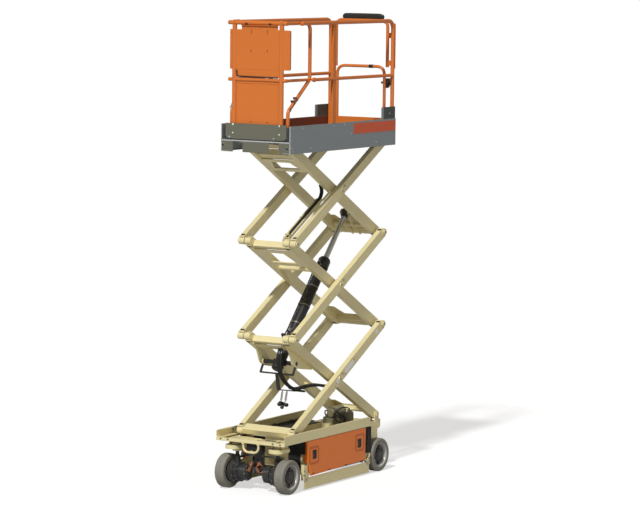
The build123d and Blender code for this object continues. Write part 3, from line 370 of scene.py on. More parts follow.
def extruded(outline, low, high, matrix=Matrix.Identity(4)):
    """Prism on an outline of (a, b) points, from low to high along the third axis."""
    count = len(outline)
    points = [(a, b, c) for c in (low, high) for a, b in outline]
    faces = [tuple(range(count - 1, -1, -1)), tuple(range(count, 2 * count))]
    faces += [(i, (i + 1) % count, count + (i + 1) % count, count + i) for i in range(count)]
    return placed((points, faces), matrix)


def turned(profile, matrix=Matrix.Identity(4), steps=40, ring=False):
    """Solid turned about Z from (height, radius) points; a ring's profile is a closed loop."""
    points, faces = [], []
    for height, radius in profile:
        for step in range(steps):
            angle = math.tau * step / steps
            points.append((radius * math.cos(angle), radius * math.sin(angle), height))
    rows = len(profile)
    for row in range(rows if ring else rows - 1):
        low, high = row * steps, (row + 1) % rows * steps
        for step in range(steps):
            after = (step + 1) % steps
            faces.append((low + step, low + after, high + after, high + step))
    if not ring:
        faces += [tuple(range(steps - 1, -1, -1)), tuple(range((rows - 1) * steps, rows * steps))]
    return placed((points, faces), matrix)


def band(place, low, high, inner, outer, steps):
    """Plain ring about the place's Z axis."""
    return turned([(low, inner), (low, outer), (high, outer), (high, inner)], place, steps, ring=True)


def rod(start, end, radius, steps=20, chamfer=0.0):
    """Round bar between two points."""
    start, end = Vector(start), Vector(end)
    length = (end - start).length
    profile = [(0, radius), (length, radius)]
    if chamfer:
        profile = [(0, radius - chamfer), (chamfer, radius), (length - chamfer, radius),
                   (length, radius - chamfer)]
    return turned(profile, turning_about(start, end - start), steps)


def rounded_outline(a, b, corner, steps=5):
    """Rectangle with round corners as (a, b) points."""
    outline = []
    for centre_a, centre_b, start in (
        (a[1] - corner, b[1] - corner, 0), (a[0] + corner, b[1] - corner, 90),
        (a[0] + corner, b[0] + corner, 180), (a[1] - corner, b[0] + corner, 270),
    ):
        for step in range(steps + 1):
            angle = math.radians(start + 90 * step / steps)
            outline.append((centre_a + corner * math.cos(angle), centre_b + corner * math.sin(angle)))
    return outline


def frame_ring(outer, inner, low, high, matrix=Matrix.Identity(4)):
    """Flat ring between two outlines with as many points."""
    count = len(outer)
    points = [(a, b, c) for c in (low, high) for line in (outer, inner) for a, b in line]
    faces = []
    for i in range(count):
        j = (i + 1) % count
        faces += [
            (i, count + i, count + j, j), (2 * count + i, 2 * count + j, 3 * count + j, 3 * count + i),
            (i, j, 2 * count + j, 2 * count + i), (count + i, 3 * count + i, 3 * count + j, count + j),
        ]
    return placed((points, faces), matrix)


def spline_shape(points, radius, sides=4, closed=False):
    """Round tube on a smooth line through design points."""
    curve = bpy.data.curves.new("line", "CURVE")
    curve.dimensions, curve.resolution_u = "3D", 8
    curve.bevel_depth, curve.bevel_resolution, curve.use_fill_caps = radius, sides, not closed
    spline = curve.splines.new("NURBS")
    spline.points.add(len(points) - 1)
    for control, point in zip(spline.points, points):
        control.co = (*point, 1.0)
    spline.use_cyclic_u = closed
    spline.order_u, spline.use_endpoint_u = 3, not closed
    carrier = bpy.data.objects.new("line", curve)
    mesh = bpy.data.meshes.new_from_object(carrier)
    made = [v.co.copy() for v in mesh.vertices], [tuple(p.vertices) for p in mesh.polygons]
    bpy.data.objects.remove(carrier)
    bpy.data.meshes.remove(mesh)
    return made


def both_sides(*shapes):
    """The shapes and their mirror images across the machine."""
    flip = Matrix.Scale(-1, 4, Y_AXIS)
    return [*shapes, *(placed(shape, flip) for shape in shapes)]


def on(place, *shapes):
    """The shapes, each moved to the place."""
    return [placed(shape, place) for shape in shapes]


# ---- pieces ----------------------------------------------------------------------
def piece(name, body, finish, shapes, round_edges=0.0, sharp=32.0):
    """One object from shapes in design millimetres, in the given finish, riding on a body."""
    mesh = bpy.data.meshes.new(name)
    points, faces = [], []
    for shape_points, shape_faces in shapes:
        first = len(points)
        points += [(p[0] * MM + SHIFT_X, p[1] * MM, p[2] * MM) for p in shape_points]
        faces += [tuple(first + i for i in face) for face in shape_faces]
    mesh.from_pydata(points, [], faces)
    work = bmesh.new()
    work.from_mesh(mesh)
    bmesh.ops.remove_doubles(work, verts=work.verts, dist=2e-6)
    bmesh.ops.recalc_face_normals(work, faces=work.faces)
    work.to_mesh(mesh)
    work.free()
    mesh.materials.append(finish)
    return settle(name, mesh, body, round_edges, sharp)


def settle(name, mesh, body, round_edges=0.0, sharp=32.0):
    """Links a finished mesh, shades it and hangs it on its body."""
    mesh.polygons.foreach_set("use_smooth", [True] * len(mesh.polygons))
    mesh.set_sharp_from_angle(angle=math.radians(sharp))
    made = bpy.data.objects.new(name, mesh)
    bpy.context.scene.collection.objects.link(made)
    if round_edges:
        soften(made, round_edges)
    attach(made, body)
    return made


def soften(thing, width, segments=2, angle=38.0):
    """Rounds the sharp edges of a piece."""
    edge = thing.modifiers.new("rounded edges", "BEVEL")
    edge.width, edge.segments = width * MM, segments
    edge.limit_method, edge.angle_limit = "ANGLE", math.radians(angle)
    edge.use_clamp_overlap, edge.harden_normals = True, True


# ---- repeated parts grown by geometry nodes ----------------------------------
def grown_tree(name, whole_numbers=(), **numbers):
    """Empty geometry tree with its geometry, its finish and the named numbers as inputs."""
    tree = bpy.data.node_groups.new(name, "GeometryNodeTree")
    tree.interface.new_socket("Geometry", in_out="INPUT", socket_type="NodeSocketGeometry")
    for kind, values in (("NodeSocketFloat", numbers), ("NodeSocketInt", dict(whole_numbers))):
        for label, value in values.items():
            tree.interface.new_socket(label, in_out="INPUT", socket_type=kind).default_value = value
    tree.interface.new_socket("Finish", in_out="INPUT", socket_type="NodeSocketMaterial")
    tree.interface.new_socket("Geometry", in_out="OUTPUT", socket_type="NodeSocketGeometry")
    return tree, tree.nodes.new("NodeGroupInput").outputs, tree.nodes.new("NodeGroupOutput")


def named(tree, name, kind):
    """A value kept with each point."""
    return node(tree, "GeometryNodeInputNamedAttribute", {"Name": name}, data_type=kind).outputs[0]


def towards_facing(tree):
    """Rotation that turns Z to each point's facing."""
    values = {"Vector": named(tree, "facing", "FLOAT_VECTOR")}
    return node(tree, "FunctionNodeAlignRotationToVector", values, axis="Z").outputs[0]


def spin_about_z(tree, angle):
    return node(tree, "FunctionNodeAxisAngleToRotation", {"Axis": (0, 0, 1), "Angle": angle}).outputs[0]


def scatter(tree, given, out, shape, rotation, **scale):
    """Puts the shape on every point and ends the tree with its finish."""
    spots = node(tree, "GeometryNodeMeshToPoints", {0: given[0]}).outputs[0]
    copies = node(tree, "GeometryNodeInstanceOnPoints",
                  {"Points": spots, "Instance": shape, "Rotation": rotation, **scale}).outputs[0]
    real = node(tree, "GeometryNodeRealizeInstances", {0: copies}).outputs[0]
    coat = node(tree, "GeometryNodeSetMaterial", {"Geometry": real, "Material": given["Finish"]})
    tree.links.new(coat.outputs[0], out.inputs[0])
    return tree


def fastener_tree():
    """Hexagon heads on washers at the points, each turned its own way about its facing."""
    tree, given, out = grown_tree("fasteners", {"Corners": 6, "Seed": 3}, Across=0.016, Height=0.007,
                                  Washer=0.011)
    head = node(tree, "GeometryNodeMeshCone", {
        "Vertices": given["Corners"], "Depth": given["Height"],
        "Radius Bottom": math_node(tree, "MULTIPLY", given["Across"], 0.55),
        "Radius Top": math_node(tree, "MULTIPLY", given["Across"], 0.50)}, fill_type="NGON")
    thin = math_node(tree, "MULTIPLY", given["Height"], 0.5)
    ring = node(tree, "GeometryNodeMeshCylinder",
                {"Vertices": 16, "Radius": given["Washer"], "Depth": thin}, fill_type="NGON")
    both = node(tree, "GeometryNodeJoinGeometry", {0: head.outputs["Mesh"]})
    tree.links.new(ring.outputs["Mesh"], both.inputs[0])
    chance = node(tree, "FunctionNodeRandomValue", {"Seed": given["Seed"]}, data_type="FLOAT").outputs[1]
    turns = {"Rotation": towards_facing(tree), "Rotate By": spin_about_z(tree, chance)}
    twist = node(tree, "FunctionNodeRotateRotation", turns, rotation_space="LOCAL")
    return scatter(tree, given, out, both.outputs[0], twist.outputs[0])


def tread_tree():
    """Raised lozenges over a sheet, set crosswise in turn, on the points of a grid."""
    tree, given, out = grown_tree("tread", Length=0.022, Breadth=0.006, Height=0.0016)
    sizes = {"Vertices": 8, "Radius Bottom": 0.5, "Radius Top": 0.3, "Depth": 1.0}
    lozenge = node(tree, "GeometryNodeMeshCone", sizes, fill_type="NGON").outputs["Mesh"]
    size = node(tree, "ShaderNodeCombineXYZ", {0: given["Length"], 1: given["Breadth"], 2: given["Height"]})
    spin = spin_about_z(tree, named(tree, "lean", "FLOAT"))
    return scatter(tree, given, out, lozenge, spin, Scale=size.outputs[0])


def ring_tree():
    """Rings along a line of points: fins of a motor, ribs of a bellows, turns of a loom."""
    tree, given, out = grown_tree("rings", Radius=0.05, Wire=0.003)
    line, section = (node(tree, "GeometryNodeCurvePrimitiveCircle",
                          {"Resolution": steps, "Radius": given[radius]})
                     for steps, radius in ((28, "Radius"), (6, "Wire")))
    hoop = node(tree, "GeometryNodeCurveToMesh",
                {"Curve": line.outputs[0], "Profile Curve": section.outputs[0]})
    return scatter(tree, given, out, hoop.outputs[0], towards_facing(tree))


FASTENERS, TREAD, RINGS = fastener_tree(), tread_tree(), ring_tree()


def grown(name, body, finish, tree, spots, facings=None, leans=None, **values):
    """Runs a tree on points in design millimetres and keeps its plain mesh as a piece."""
    seeds = bpy.data.meshes.new(name + "_spots")
    seeds.from_pydata([(p[0] * MM + SHIFT_X, p[1] * MM, p[2] * MM) for p in spots], [], [])
    if facings:
        held = seeds.attributes.new("facing", "FLOAT_VECTOR", "POINT")
        held.data.foreach_set("vector", [c for f in facings for c in f])
    if leans:
        held = seeds.attributes.new("lean", "FLOAT", "POINT")
        held.data.foreach_set("value", leans)
    seedling = bpy.data.objects.new(name + "_spots", seeds)
    bpy.context.scene.collection.objects.link(seedling)
    growth = seedling.modifiers.new("growth", "NODES")
    growth.node_group = tree
    values["Finish"] = finish
    for socket in tree.interface.items_tree:
        if socket.in_out == "INPUT" and socket.name in values:
            growth[socket.identifier] = values[socket.name]
    mesh = bpy.data.meshes.new_from_object(seedling.evaluated_get(bpy.context.evaluated_depsgraph_get()))
    bpy.data.objects.remove(seedling)
    mesh.name = name
    return settle(name, mesh, body)


def bolts(name, body, spots, facing, across=0.015, height=0.006, washer=0.0105, finish=zinc, seed=3):
    """Bolt heads at the spots, all with one facing or one facing each."""
    facings = facing if isinstance(facing, list) else [facing] * len(spots)
    return grown(name, body, finish, FASTENERS, spots, facings,
                 Across=across, Height=height, Washer=washer, Seed=seed)


def around(place, count, radius, height, start=0.0):
    """Points evenly round a place's Z axis."""
    angles = [math.tau * step / count + start for step in range(count)]
    return [place @ Vector((radius * math.cos(a), radius * math.sin(a), height)) for a in angles]


# ---- wheels: profiles are (outwards, radius) points from the wheel's middle plane ----
TYRE_PROFILE = [
    (-50, 138), (-50, 146), (-47.5, 153), (-43, 158), (-36, 161), (-24, 161.5), (-22.6, 159.4),
    (-21.4, 159.4), (-20, 161.5), (-1.4, 161.5), (-0.6, 159.4), (0.6, 159.4), (1.4, 161.5), (20, 161.5),
    (21.4, 159.4), (22.6, 159.4), (24, 161.5), (36, 161), (43, 158), (47.5, 153), (50, 146), (50, 138),
    (48, 131), (49, 126), (49, 121), (46.5, 117.5), (-46.5, 117.5), (-49, 121), (-49, 126), (-48, 131),
]
BARREL_PROFILE = [
    (-44, 118), (-44, 109), (-38, 107), (4, 104), (8, 99), (16, 99), (20, 103), (38, 107), (43, 110),
    (46, 112), (46.5, 115), (46, 118),
]
CENTRE_PROFILE = [
    (3, 0), (3, 100), (9, 101), (14, 99), (15, 96), (12.5, 90), (12.5, 70), (15, 64), (30, 56), (33, 52),
    (33, 38), (35, 36), (41, 33), (43, 28), (43, 0),
]
BACK_PROFILE = [(-44, 0), (-44, 60), (-40, 66), (-10, 70), (3, 74), (4, 74), (4, 0)]


def wheel(name):
    """Grooved tyre, stepped rim, dished centre, nuts and hub cap in place of the plain wheel."""
    end, side_name = name.split("_")
    side = 1 if side_name == "left" else -1
    centre = Vector((AXLE_X[end], side * WHEEL_Y, WHEEL_RADIUS))
    hub = turning_about(centre, (0, side, 0))
    body = "wheel_" + name
    tyre = piece(f"{name}_solid_tyre", body, tyre_rubber, [turned(TYRE_PROFILE, hub, 96, ring=True)])
    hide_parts(f"tyre_{name}")
    barrel = piece(f"{name}_rim_barrel", body, rim_silver, [turned(BARREL_PROFILE, hub, 72, ring=True)])
    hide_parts(f"rim_{name}")
    vents = [turned([(11, 6.5), (13.4, 6.5), (13.4, 5), (11, 5)], hub @ Matrix.Translation(spot), 16,
                    ring=True)
             for spot in around(Matrix.Identity(4), 5, 82, 0, math.tau / 10)]
    shapes = [turned(CENTRE_PROFILE, hub, 60), *vents]
    if end == "rear":
        shapes.append(turned(BACK_PROFILE, hub, 48))
    piece(f"{name}_wheel_centre", body, dark_paint, shapes)
    bolts(f"{name}_wheel_nuts", body, around(hub, 5, 81, 15), (0, side, 0), 0.019, 0.012, 0.013,
          finish=dull_steel)
    cap = [turned([(40, 0), (40, 24), (44, 23), (45.5, 20), (45.5, 12), (47, 10), (47, 0)], hub, 32)]
    piece(f"{name}_hub_cap", body, black_plastic, cap)


for name in ("front_left", "front_right", "rear_left", "rear_right"):
    wheel(name)


# ---- drive motors and steering -----------------------------------------------
def drive_motor(side_name, side):
    """Motor drum behind a front wheel: end cover, flanges, fins, terminals and the boot on its kingpin."""
    body = f"knuckle_{side_name}"
    x, z = AXLE_X["front"], WHEEL_RADIUS
    inward = turning_about((x, side * 105.0, z), (0, -side, 0))
    cover = turned([(-2, 0), (-2, 77), (3, 77), (5, 72), (9, 66), (10, 40), (14, 36), (15, 30), (15, 0)],
                   inward, 48)
    flange = turned([(-70, 92), (-66, 92), (-66, 76), (-70, 76)], inward, 56, ring=True)
    ledge = turned([(-126, 104), (-121, 104), (-119, 101), (-119, 90), (-126, 90)], inward, 56, ring=True)
    box_top = placed(box((-34, 34), (-42, -6), (70, 92)),
                     inward @ Matrix.Rotation(math.radians(180), 4, "Z"))
    ribs = [placed(box((-4, 4), (74, 90), (-118, -72)),
                   inward @ Matrix.Rotation(math.tau * step / 10, 4, "Z"))
            for step in range(10)]
    piece(f"{side_name}_motor_castings", body, motor_enamel,
          [cover, flange, ledge, box_top, *ribs], 0.8)
    spots = around(inward, 6, 70, 6) + around(inward, 10, 98, -119, 0.3)
    bolts(f"{side_name}_motor_bolts", body, spots, (0, -side, 0), 0.012, 0.007, 0.008, seed=7)
    posts = [(x + dx, side * 96.0, z + dz) for dx, dz in ((-34, 26), (0, 44), (34, 26))]
    piece(f"{side_name}_motor_terminals", body, copper,
          [rod(p, (p[0], p[1] - side * 20, p[2]), 6, 12, 1) for p in posts])
    rings = [(x, side * (108.0 + 7.5 * step), z) for step in range(9)]
    grown(f"{side_name}_motor_fins", body, motor_enamel, RINGS, rings, [(0, 1, 0)] * 9,
          Radius=0.0755, Wire=0.0022)
    boot = turned([(1, 26), (4, 26), (7, 23), (11, 26), (15, 23), (19, 26), (23, 22), (26, 20), (26, 18.4),
                   (1, 18.4)],
                  turning_about((x, side * KINGPIN_Y, KINGPIN_Z), (0, 0, 1)), 32, ring=True)
    piece(f"{side_name}_kingpin_boot", body, black_rubber, [boot])


for side_name, side in SIDES:
    drive_motor(side_name, side)

# motor leads: six from each motor, looped round into the junction box between the wheels
lead_runs = []
for side in (1, -1):
    for step in range(6):
        fan = 7.0 * step
        lead_runs.append(spline_shape([
            (838 + 4 * step, side * (60 + 2 * step), 204 + 3 * step),
            (850 + 3 * step, side * (86 - 6 * step), 236 + fan),
            (884 - 5 * step, side * (58 - 10 * step), 262 + fan),
            (900 - 6 * step, side * (22 + 4 * step), 226 - fan / 2),
            (888, side * (44 + 4 * step), 188 - fan / 2),
            (868 - 4 * step, side * (82 - 3 * step), 176 + fan / 2),
            (838 - 6 * step, side * 97, 200 + fan)], 3.6, sides=3))
piece("motor_leads", "chassis", copper_lead, lead_runs[:4] + lead_runs[6:10])
piece("motor_lead_sleeves", "chassis", black_rubber, lead_runs[4:6] + lead_runs[10:])

# matt black sheets of painted shade that close the view into the chassis, and the chains that hang behind the
# doors
piece("wheel_well_shade_sheets", "chassis", matt_black_and_painted_shade, [
    *both_sides(box((503, 507), (131, 268), (136, 456))), box((503, 507), (-130, 130), (136, 189)),
    *both_sides(box((-592, -482), (346, 366), (212, 458)), box((-600, -592), (262, 366), (330, 458)))], 1.5)
well_rings = [(-538 + 8 * math.sin(z * 0.21), side * 369, z) for side in (1, -1)
              for z in range(222, 450, 11)]
grown("well_chain", "chassis", black_plastic, RINGS, well_rings, [(0, 1, 0.25)] * len(well_rings),
      Radius=0.0085, Wire=0.0026)
# a black box behind the tow loop, and flat matt black plates under the deck beside it that paint the shade between
# the kingpin cups
piece("front_terminal_box", "chassis", matt_black_and_painted_shade, [
    extruded(rounded_outline((-62, 62), (392, 456), 8), 894, 922, FACING_AHEAD),
    *both_sides(box((790, 940), (100, 240), (451, 459)))], 1.0)
piece("lead_junction", "chassis", black_plastic,
      [extruded(rounded_outline((820, 862), (-54, 54), 10), 178, 224),
       *both_sides(rod((838, 50, 204), (838, 64, 204), 10, 18, 1.5))], 1.5)
piece("junction_hanger", "chassis", dark_paint,
      [box((812, 820), (-40, 40), (178, 461))], 0.8)
tie_ends = both_sides(turned([(0, 12), (0, 16), (26, 16), (30, 13), (30, 12)],
                             turning_about((740, 208, 313), (0, -1, 0)), 24),
                      rod((740, 190, 313), (740, 158, 313), 14, 6))
piece("tie_rod_ends", "tie_rod", dull_steel, tie_ends, 0.8)

# ---- front of the chassis --------------------------------------------------------
lid_top = 491.0     # of the cover plate ahead of the arms
piece("front_lid_handle", "chassis", cream, [
    spline_shape([(838, -46, lid_top), (846, -40, lid_top + 2.4), (852, -20, lid_top + 2.6),
                  (852, 20, lid_top + 2.6), (846, 40, lid_top + 2.4), (838, 46, lid_top)], 3.4),
    extruded(rounded_outline((890, 922), (-20, 44), 8), lid_top - 1, lid_top + 3),
    extruded(rounded_outline((836, 872), (-136, -96), 6), lid_top - 1, lid_top + 4)], 0.8)
bolts("front_lid_bolts", "chassis",
      [(x, y, lid_top) for x in (842, 925) for y in (-140, 70)] + [(878, y, 486) for y in (-200, 130, 200)],
      (0, 0, 1), 0.013, 0.004, 0.009)
# matt black sheet in the lid's opening: painted shade
piece("front_opening_shade", "chassis", matt_black_and_painted_shade,
      [extruded(rounded_outline((828, 872), (98, 216), 8), 483, 486.6)])
piece("front_wall_trim", "chassis", cream, [
    box((957, 959.5), (-372, 372), (463, 470)),
    *both_sides(box((920, 957), (379.5, 381.5), (500, 548)))], 0.6)
bolts("front_wall_bolts", "chassis", [(957.5, y, 478) for y in (-330, -250, 250, 330)], (1, 0, 0), 0.014)
piece("tow_loop_feet", "chassis", cream, both_sides(
    turned([(0, 17), (4, 19), (9, 19), (12, 13), (0, 11)], turning_about((943.5, 84, 448), (0, 0, 1)), 28)))

# ---- side doors and pothole guards -------------------------------------------------
def door_fittings(side_name, side):
    """Latches in recesses outlined in painted shade, stiffeners, rivets, hinges and a matt black sheet of painted
    shade in the gap under the door.
    """
    face = frame_at((0, side * DOOR_FACE, 0), (1, 0, 0), (0, side, 0))

    def on_door(x, z, corner):
        heights = sorted((-side * z[0], -side * z[1]))      # the face's second axis runs down on the left
        return rounded_outline(x, heights, corner)

    frames, latches, keys = [], [], []
    for x, z, hole_x in (((362, 530), (240, 404), 437), ((-447, -289), (252, 416), -363)):
        shrunk = ((x[0] + 6, x[1] - 6), (z[0] + 6, z[1] - 6))
        frames.append(frame_ring(on_door(x, z, 26), on_door(*shrunk, 22), -0.5, 1.4, face))
        inner = ((x[0] + 14, x[1] - 14), (z[0] + 14, z[1] - 14))
        frames.append(frame_ring(on_door(*inner, 15), on_door(
            (inner[0][0] + 3, inner[0][1] - 3), (inner[1][0] + 3, inner[1][1] - 3), 12), -0.5, 0.8, face))
        latches.append(frame_ring(on_door((hole_x - 33, hole_x + 33), (284, 371), 9),
                                  on_door((hole_x - 25, hole_x + 25), (292, 363), 7), -9, 1.2, face))
        latches.append(extruded(on_door((hole_x - 27, hole_x + 27), (290, 365), 7), -9.5, -6, face))
        latches.append(extruded(on_door((hole_x - 9, hole_x + 9), (296, 352), 8), -7, 0.6, face))
        latches.append(extruded(on_door((hole_x - 16, hole_x + 16), (336, 358), 8), -7, -0.4, face))
        keys.append(rod((hole_x, side * (DOOR_FACE - 1), 347), (hole_x, side * (DOOR_FACE + 0.4), 347), 6,
                        16, 0.4))
    body = f"door_{side_name}"
    # the outlines round the recesses are darker orange: painted shade
    piece(f"{side_name}_door_latch_frames", body, frame_shade, frames)
    piece(f"{side_name}_door_latches", body, black_plastic, latches, 0.5)
    piece(f"{side_name}_door_locks", body, zinc, keys)
    lip_y = sorted((side * (DOOR_FACE - 17), side * (DOOR_FACE - 26)))
    piece(f"{side_name}_door_stiffeners", body, orange, [
        box((-460, 536), lip_y, (436, 456)), box((-455, 480), lip_y, (158, 176))], 0.8)
    bolts(f"{side_name}_door_rivets", body,
          [(x, side * DOOR_FACE, 452) for x in range(-450, 560, 125)], (0, side, 0), 0.007, 0.0022, 0.0046,
          finish=orange)
    hinge_y = side * DOOR_HINGE_Y
    knuckles = [rod((x, hinge_y, DOOR_HINGE_Z), (x + 46, hinge_y, DOOR_HINGE_Z), 8.2, 20, 0.8)
                for x in (-440, -150, 150, 430)]
    piece(f"{side_name}_door_hinges", body, dark_paint, knuckles)
    # matt black sheet in the gap under the door: painted shade
    piece(f"{side_name}_door_gap_shade", "chassis", matt_black_and_painted_shade,
          [box((-468, 492), sorted((side * 337, side * 341)), (128, 158))])


def guard_fittings(side_name, side):
    """Ribs behind a pothole guard, its end bolts and the bolts of the ears that carry it."""
    guard = f"guard_{side_name}"
    stay_y = sorted((side * 361, side * 368.5))
    piece(f"{side_name}_guard_ribs", guard, cream,
          [box((x, x + 8), stay_y, (30, 112)) for x in (-500, -170, 190, 540)] +
          [box((GUARD_X[0] + 2, GUARD_X[1] - 2), stay_y, (18.5, 24))], 0.6)
    bolts(f"{side_name}_guard_bolts", guard, [(x, side * 376, 104) for x in (-520, 574)], (0, side, 0),
          0.014)
    ear_spots = [(x, side * 380, z) for x, z in ((606, 190), (606, 150), (-545, 160), (-545, 140))]
    bolts(f"{side_name}_ear_bolts", "chassis", ear_spots, (0, side, 0), 0.013)


for side_name, side in SIDES:
    door_fittings(side_name, side)
    guard_fittings(side_name, side)

# ---- inside the chassis ----------------------------------------------------------
# black mats over the battery lids, standing partly for dark gear and partly for painted shade under the arms
piece("battery_cover_mats", "chassis", black_rubber,
      both_sides(extruded(rounded_outline((-462, -30), (134, 350), 12), 467, 472.5),
                 extruded(rounded_outline((-20, 486), (134, 316), 12), 467, 472.5)), 1.0)
looms = []
for side in (1, -1):
    for step in range(3):
        looms.append(spline_shape([
            (-500, side * (322 + 7 * step), 500), (-440, side * (328 + 9 * step), 486),
            (-250, side * (334 + 8 * step), 484), (-60, side * (326 + 10 * step), 486),
            (120, side * (334 + 8 * step), 484), (235, side * (338 + 6 * step), 486),
            (245, side * (352 + 2 * step), 520)], 7.5, sides=3))
piece("battery_cables", "chassis", black_rubber, looms)
piece("cable_clips", "chassis", dull_steel,
      both_sides(*[frame_ring(rounded_outline((320, 364), (474, 500), 8),
                              rounded_outline((323, 361), (474.5, 497), 6), 0, 14,
                              Matrix.Translation((x, 0, 0)) @ FACING_AHEAD)
                   for x in (-300, 0, 180)]))

unit_z = 461.0      # floor under the hydraulic unit
# the hydraulic unit's cream paint is darkened here into painted shade
pump = turning_about((-690, -30, unit_z + 103), (1, 0, 0))
piece("pump_motor", "chassis", olive, [
    turned([(-6, 0), (-6, 44), (-2, 52), (4, 57), (6, 60), (12, 60), (14, 57), (128, 57), (130, 61),
            (142, 61), (144, 58), (146, 42), (200, 42), (204, 36), (204, 0)], pump, 48),
    box((-672, -570), (-62, 2), (unit_z + 40, unit_z + 60))], 0.8)
grown("pump_motor_fins", "chassis", olive, RINGS,
      [(-660 + 9 * step, -30, unit_z + 103) for step in range(11)], [(1, 0, 0)] * 11, Radius=0.0575,
      Wire=0.0022)
piece("pump_tank", "chassis", olive, [
    turned([(0, 0), (0, 36), (4, 40), (96, 40), (104, 36), (110, 24), (116, 22), (128, 22), (130, 18),
            (130, 0)],
           turning_about((-620, 105, unit_z), (0, 0, 1)), 40),
    extruded(rounded_outline((-700, -560), (-124, 64), 8), unit_z + 2, unit_z + 57)], 1.0)
piece("valve_block", "chassis", dull_steel, [
    box((-552, -500), (24, 58), (unit_z + 59, unit_z + 110)),
    rod((-526, 41, unit_z + 110), (-526, 41, unit_z + 146), 13, 20, 2),
    rod((-545, -92, unit_z + 59), (-545, -92, unit_z + 92), 15, 20, 2),
    rod((-515, -92, unit_z + 59), (-515, -92, unit_z + 84), 11, 6),
    rod((-500, 30, unit_z + 84), (-474, 30, unit_z + 84), 9, 6)], 0.8)
piece("valve_coils", "chassis", black_plastic, [
    box((-548, -504), (64, 100), (unit_z + 62, unit_z + 100)),
    rod((-526, 60, unit_z + 82), (-526, 108, unit_z + 82), 16, 24, 2)], 1.5)
unit_lines = [
    spline_shape([(-474, 30, unit_z + 84), (-440, 30, unit_z + 84), (-420, 60, unit_z + 60),
                  (-430, 118, unit_z + 24), (-440, 150, unit_z + 30)], 7.0, sides=3),
    spline_shape([(-620, 105, unit_z + 126), (-620, 105, unit_z + 150), (-590, 60, unit_z + 158),
                  (-540, 44, unit_z + 150), (-526, 41, unit_z + 144)], 6.0, sides=3),
    spline_shape([(-545, -92, unit_z + 90), (-545, -92, unit_z + 116), (-560, -140, unit_z + 112),
                  (-600, -160, unit_z + 60), (-640, -150, unit_z + 12)], 6.5, sides=3)]
piece("pump_lines", "chassis", black_rubber, unit_lines)
bolts("pump_bolts", "chassis", [(-701, -30 + 34 * math.cos(a), unit_z + 103 + 34 * math.sin(a))
                               for a in (0.4, 1.97, 3.54, 5.11)], (-1, 0, 0), 0.012)

# ---- rear of the chassis -----------------------------------------------------------
treads = []
for z in (239, 449):
    treads += [(x, y, z) for y in range(-138, 139, 23) for x in (-950, -937)]
grown("ladder_grips", "chassis", dark_paint, TREAD, treads, leans=[0.0] * len(treads),
      Length=0.009, Breadth=0.009, Height=0.003)
piece("ladder_back", "chassis", dark_paint, [
    box((-903, -899), (-200, 200), (160, 456)), box((-930, -900), (-160, -154), (200, 460)),
    box((-930, -900), (154, 160), (200, 460))], 0.8)
bolts("ladder_bolts", "chassis", [(-903, y, z) for y in (-185, 185) for z in (190, 300, 420)], (-1, 0, 0),
      0.014)
piece("charger_socket", "chassis", black_plastic, [
    extruded(rounded_outline((-32, 32), (-26, 26), 6), 0, 12,
             frame_at((-903, -112, 330), (0, 1, 0), (-1, 0, 0))),
    turned([(10, 0), (10, 18), (20, 18), (22, 15), (22, 0)], turning_about((-903, -112, 330), (-1, 0, 0)),
           28)], 1.0)

# ---- scissor arms ------------------------------------------------------------------
def arm_details(kind, stack):
    """Rings round the pins, ribs, matt black patches of painted shade in the slots and end openings and, on outer
    arms, keeper bolts.
    """
    body = f"{kind}_{stack}"
    place = arm_frame(kind, stack)
    inside, outside = ARM_SIDES[kind]
    shapes = []
    for along in (0.0, ARM_LENGTH):
        for y in (inside - 5.2, outside + 5.2):
            shapes.append(band(place @ turning_about((along, y, 0), (0, 1, 0)), -0.8, 0.8, 26.5, 31, 36))
        inner_end = 1 if along == 0 else -1
        rim = along + inner_end * 70
        low = min(rim, rim + inner_end * 5)
        shapes.append(placed(box((low, low + 5), (inside + 6, outside - 6), (-38, 38)), place))
    piece(f"{body}_arm_rings", body, cream, both_sides(*shapes))
    slots = []
    # slots and end openings: flat matt black patches, painted shade
    for near in (20.0, ARM_LENGTH - 44.0):
        slots += [box((near, near + 24), (inside + 5, outside - 5), above)
                  for above in ((44.6, 45.6), (-45.6, -44.6))]
    for end in (-0.7, ARM_LENGTH - 0.5):
        slots += [box((end, end + 1.2), (inside + 8, outside - 8), above)
                  for above in ((20, 38), (-38, -20))]
    piece(f"{body}_arm_opening_shade", body, matt_black_and_painted_shade, both_sides(*on(place, *slots)))
    if kind == "outer":
        keeper = [place @ Vector((MIDDLE + 62, side * outside, 18)) for side in (1, -1)]
        bolts(f"{body}_keeper_bolts", body, keeper, [(0, 1, 0), (0, -1, 0)], 0.015, 0.007, 0.010)


for stack in (1, 2, 3):
    for kind in ("inner", "outer"):
        arm_details(kind, stack)
    place = arm_frame("inner", stack)
    heads, screws, facings = [], [], []
    spots = [MIDDLE] + ([0.0] if stack > 1 else []) + ([ARM_LENGTH] if stack < 3 else [])
    for along in spots:
        out_y = 321.0 if along == MIDDLE else 326.0
        heads.append(turned([(-1, 24), (0, 24.5), (1.6, 22), (1.6, 14), (-0.4, 13), (-0.4, 0), (-1, 0)],
                            place @ turning_about((along, out_y, 0), (0, 1, 0)), 36))
        for side in (1, -1):
            screws.append(place @ Vector((along, side * (out_y - 0.4), 0)))
            facings.append((0, side, 0))
    piece(f"pin_caps_{stack}", f"inner_{stack}", cream, both_sides(*heads))
    bolts(f"pin_screws_{stack}", f"inner_{stack}", screws, facings, 0.013, 0.006, 0.009, seed=stack)

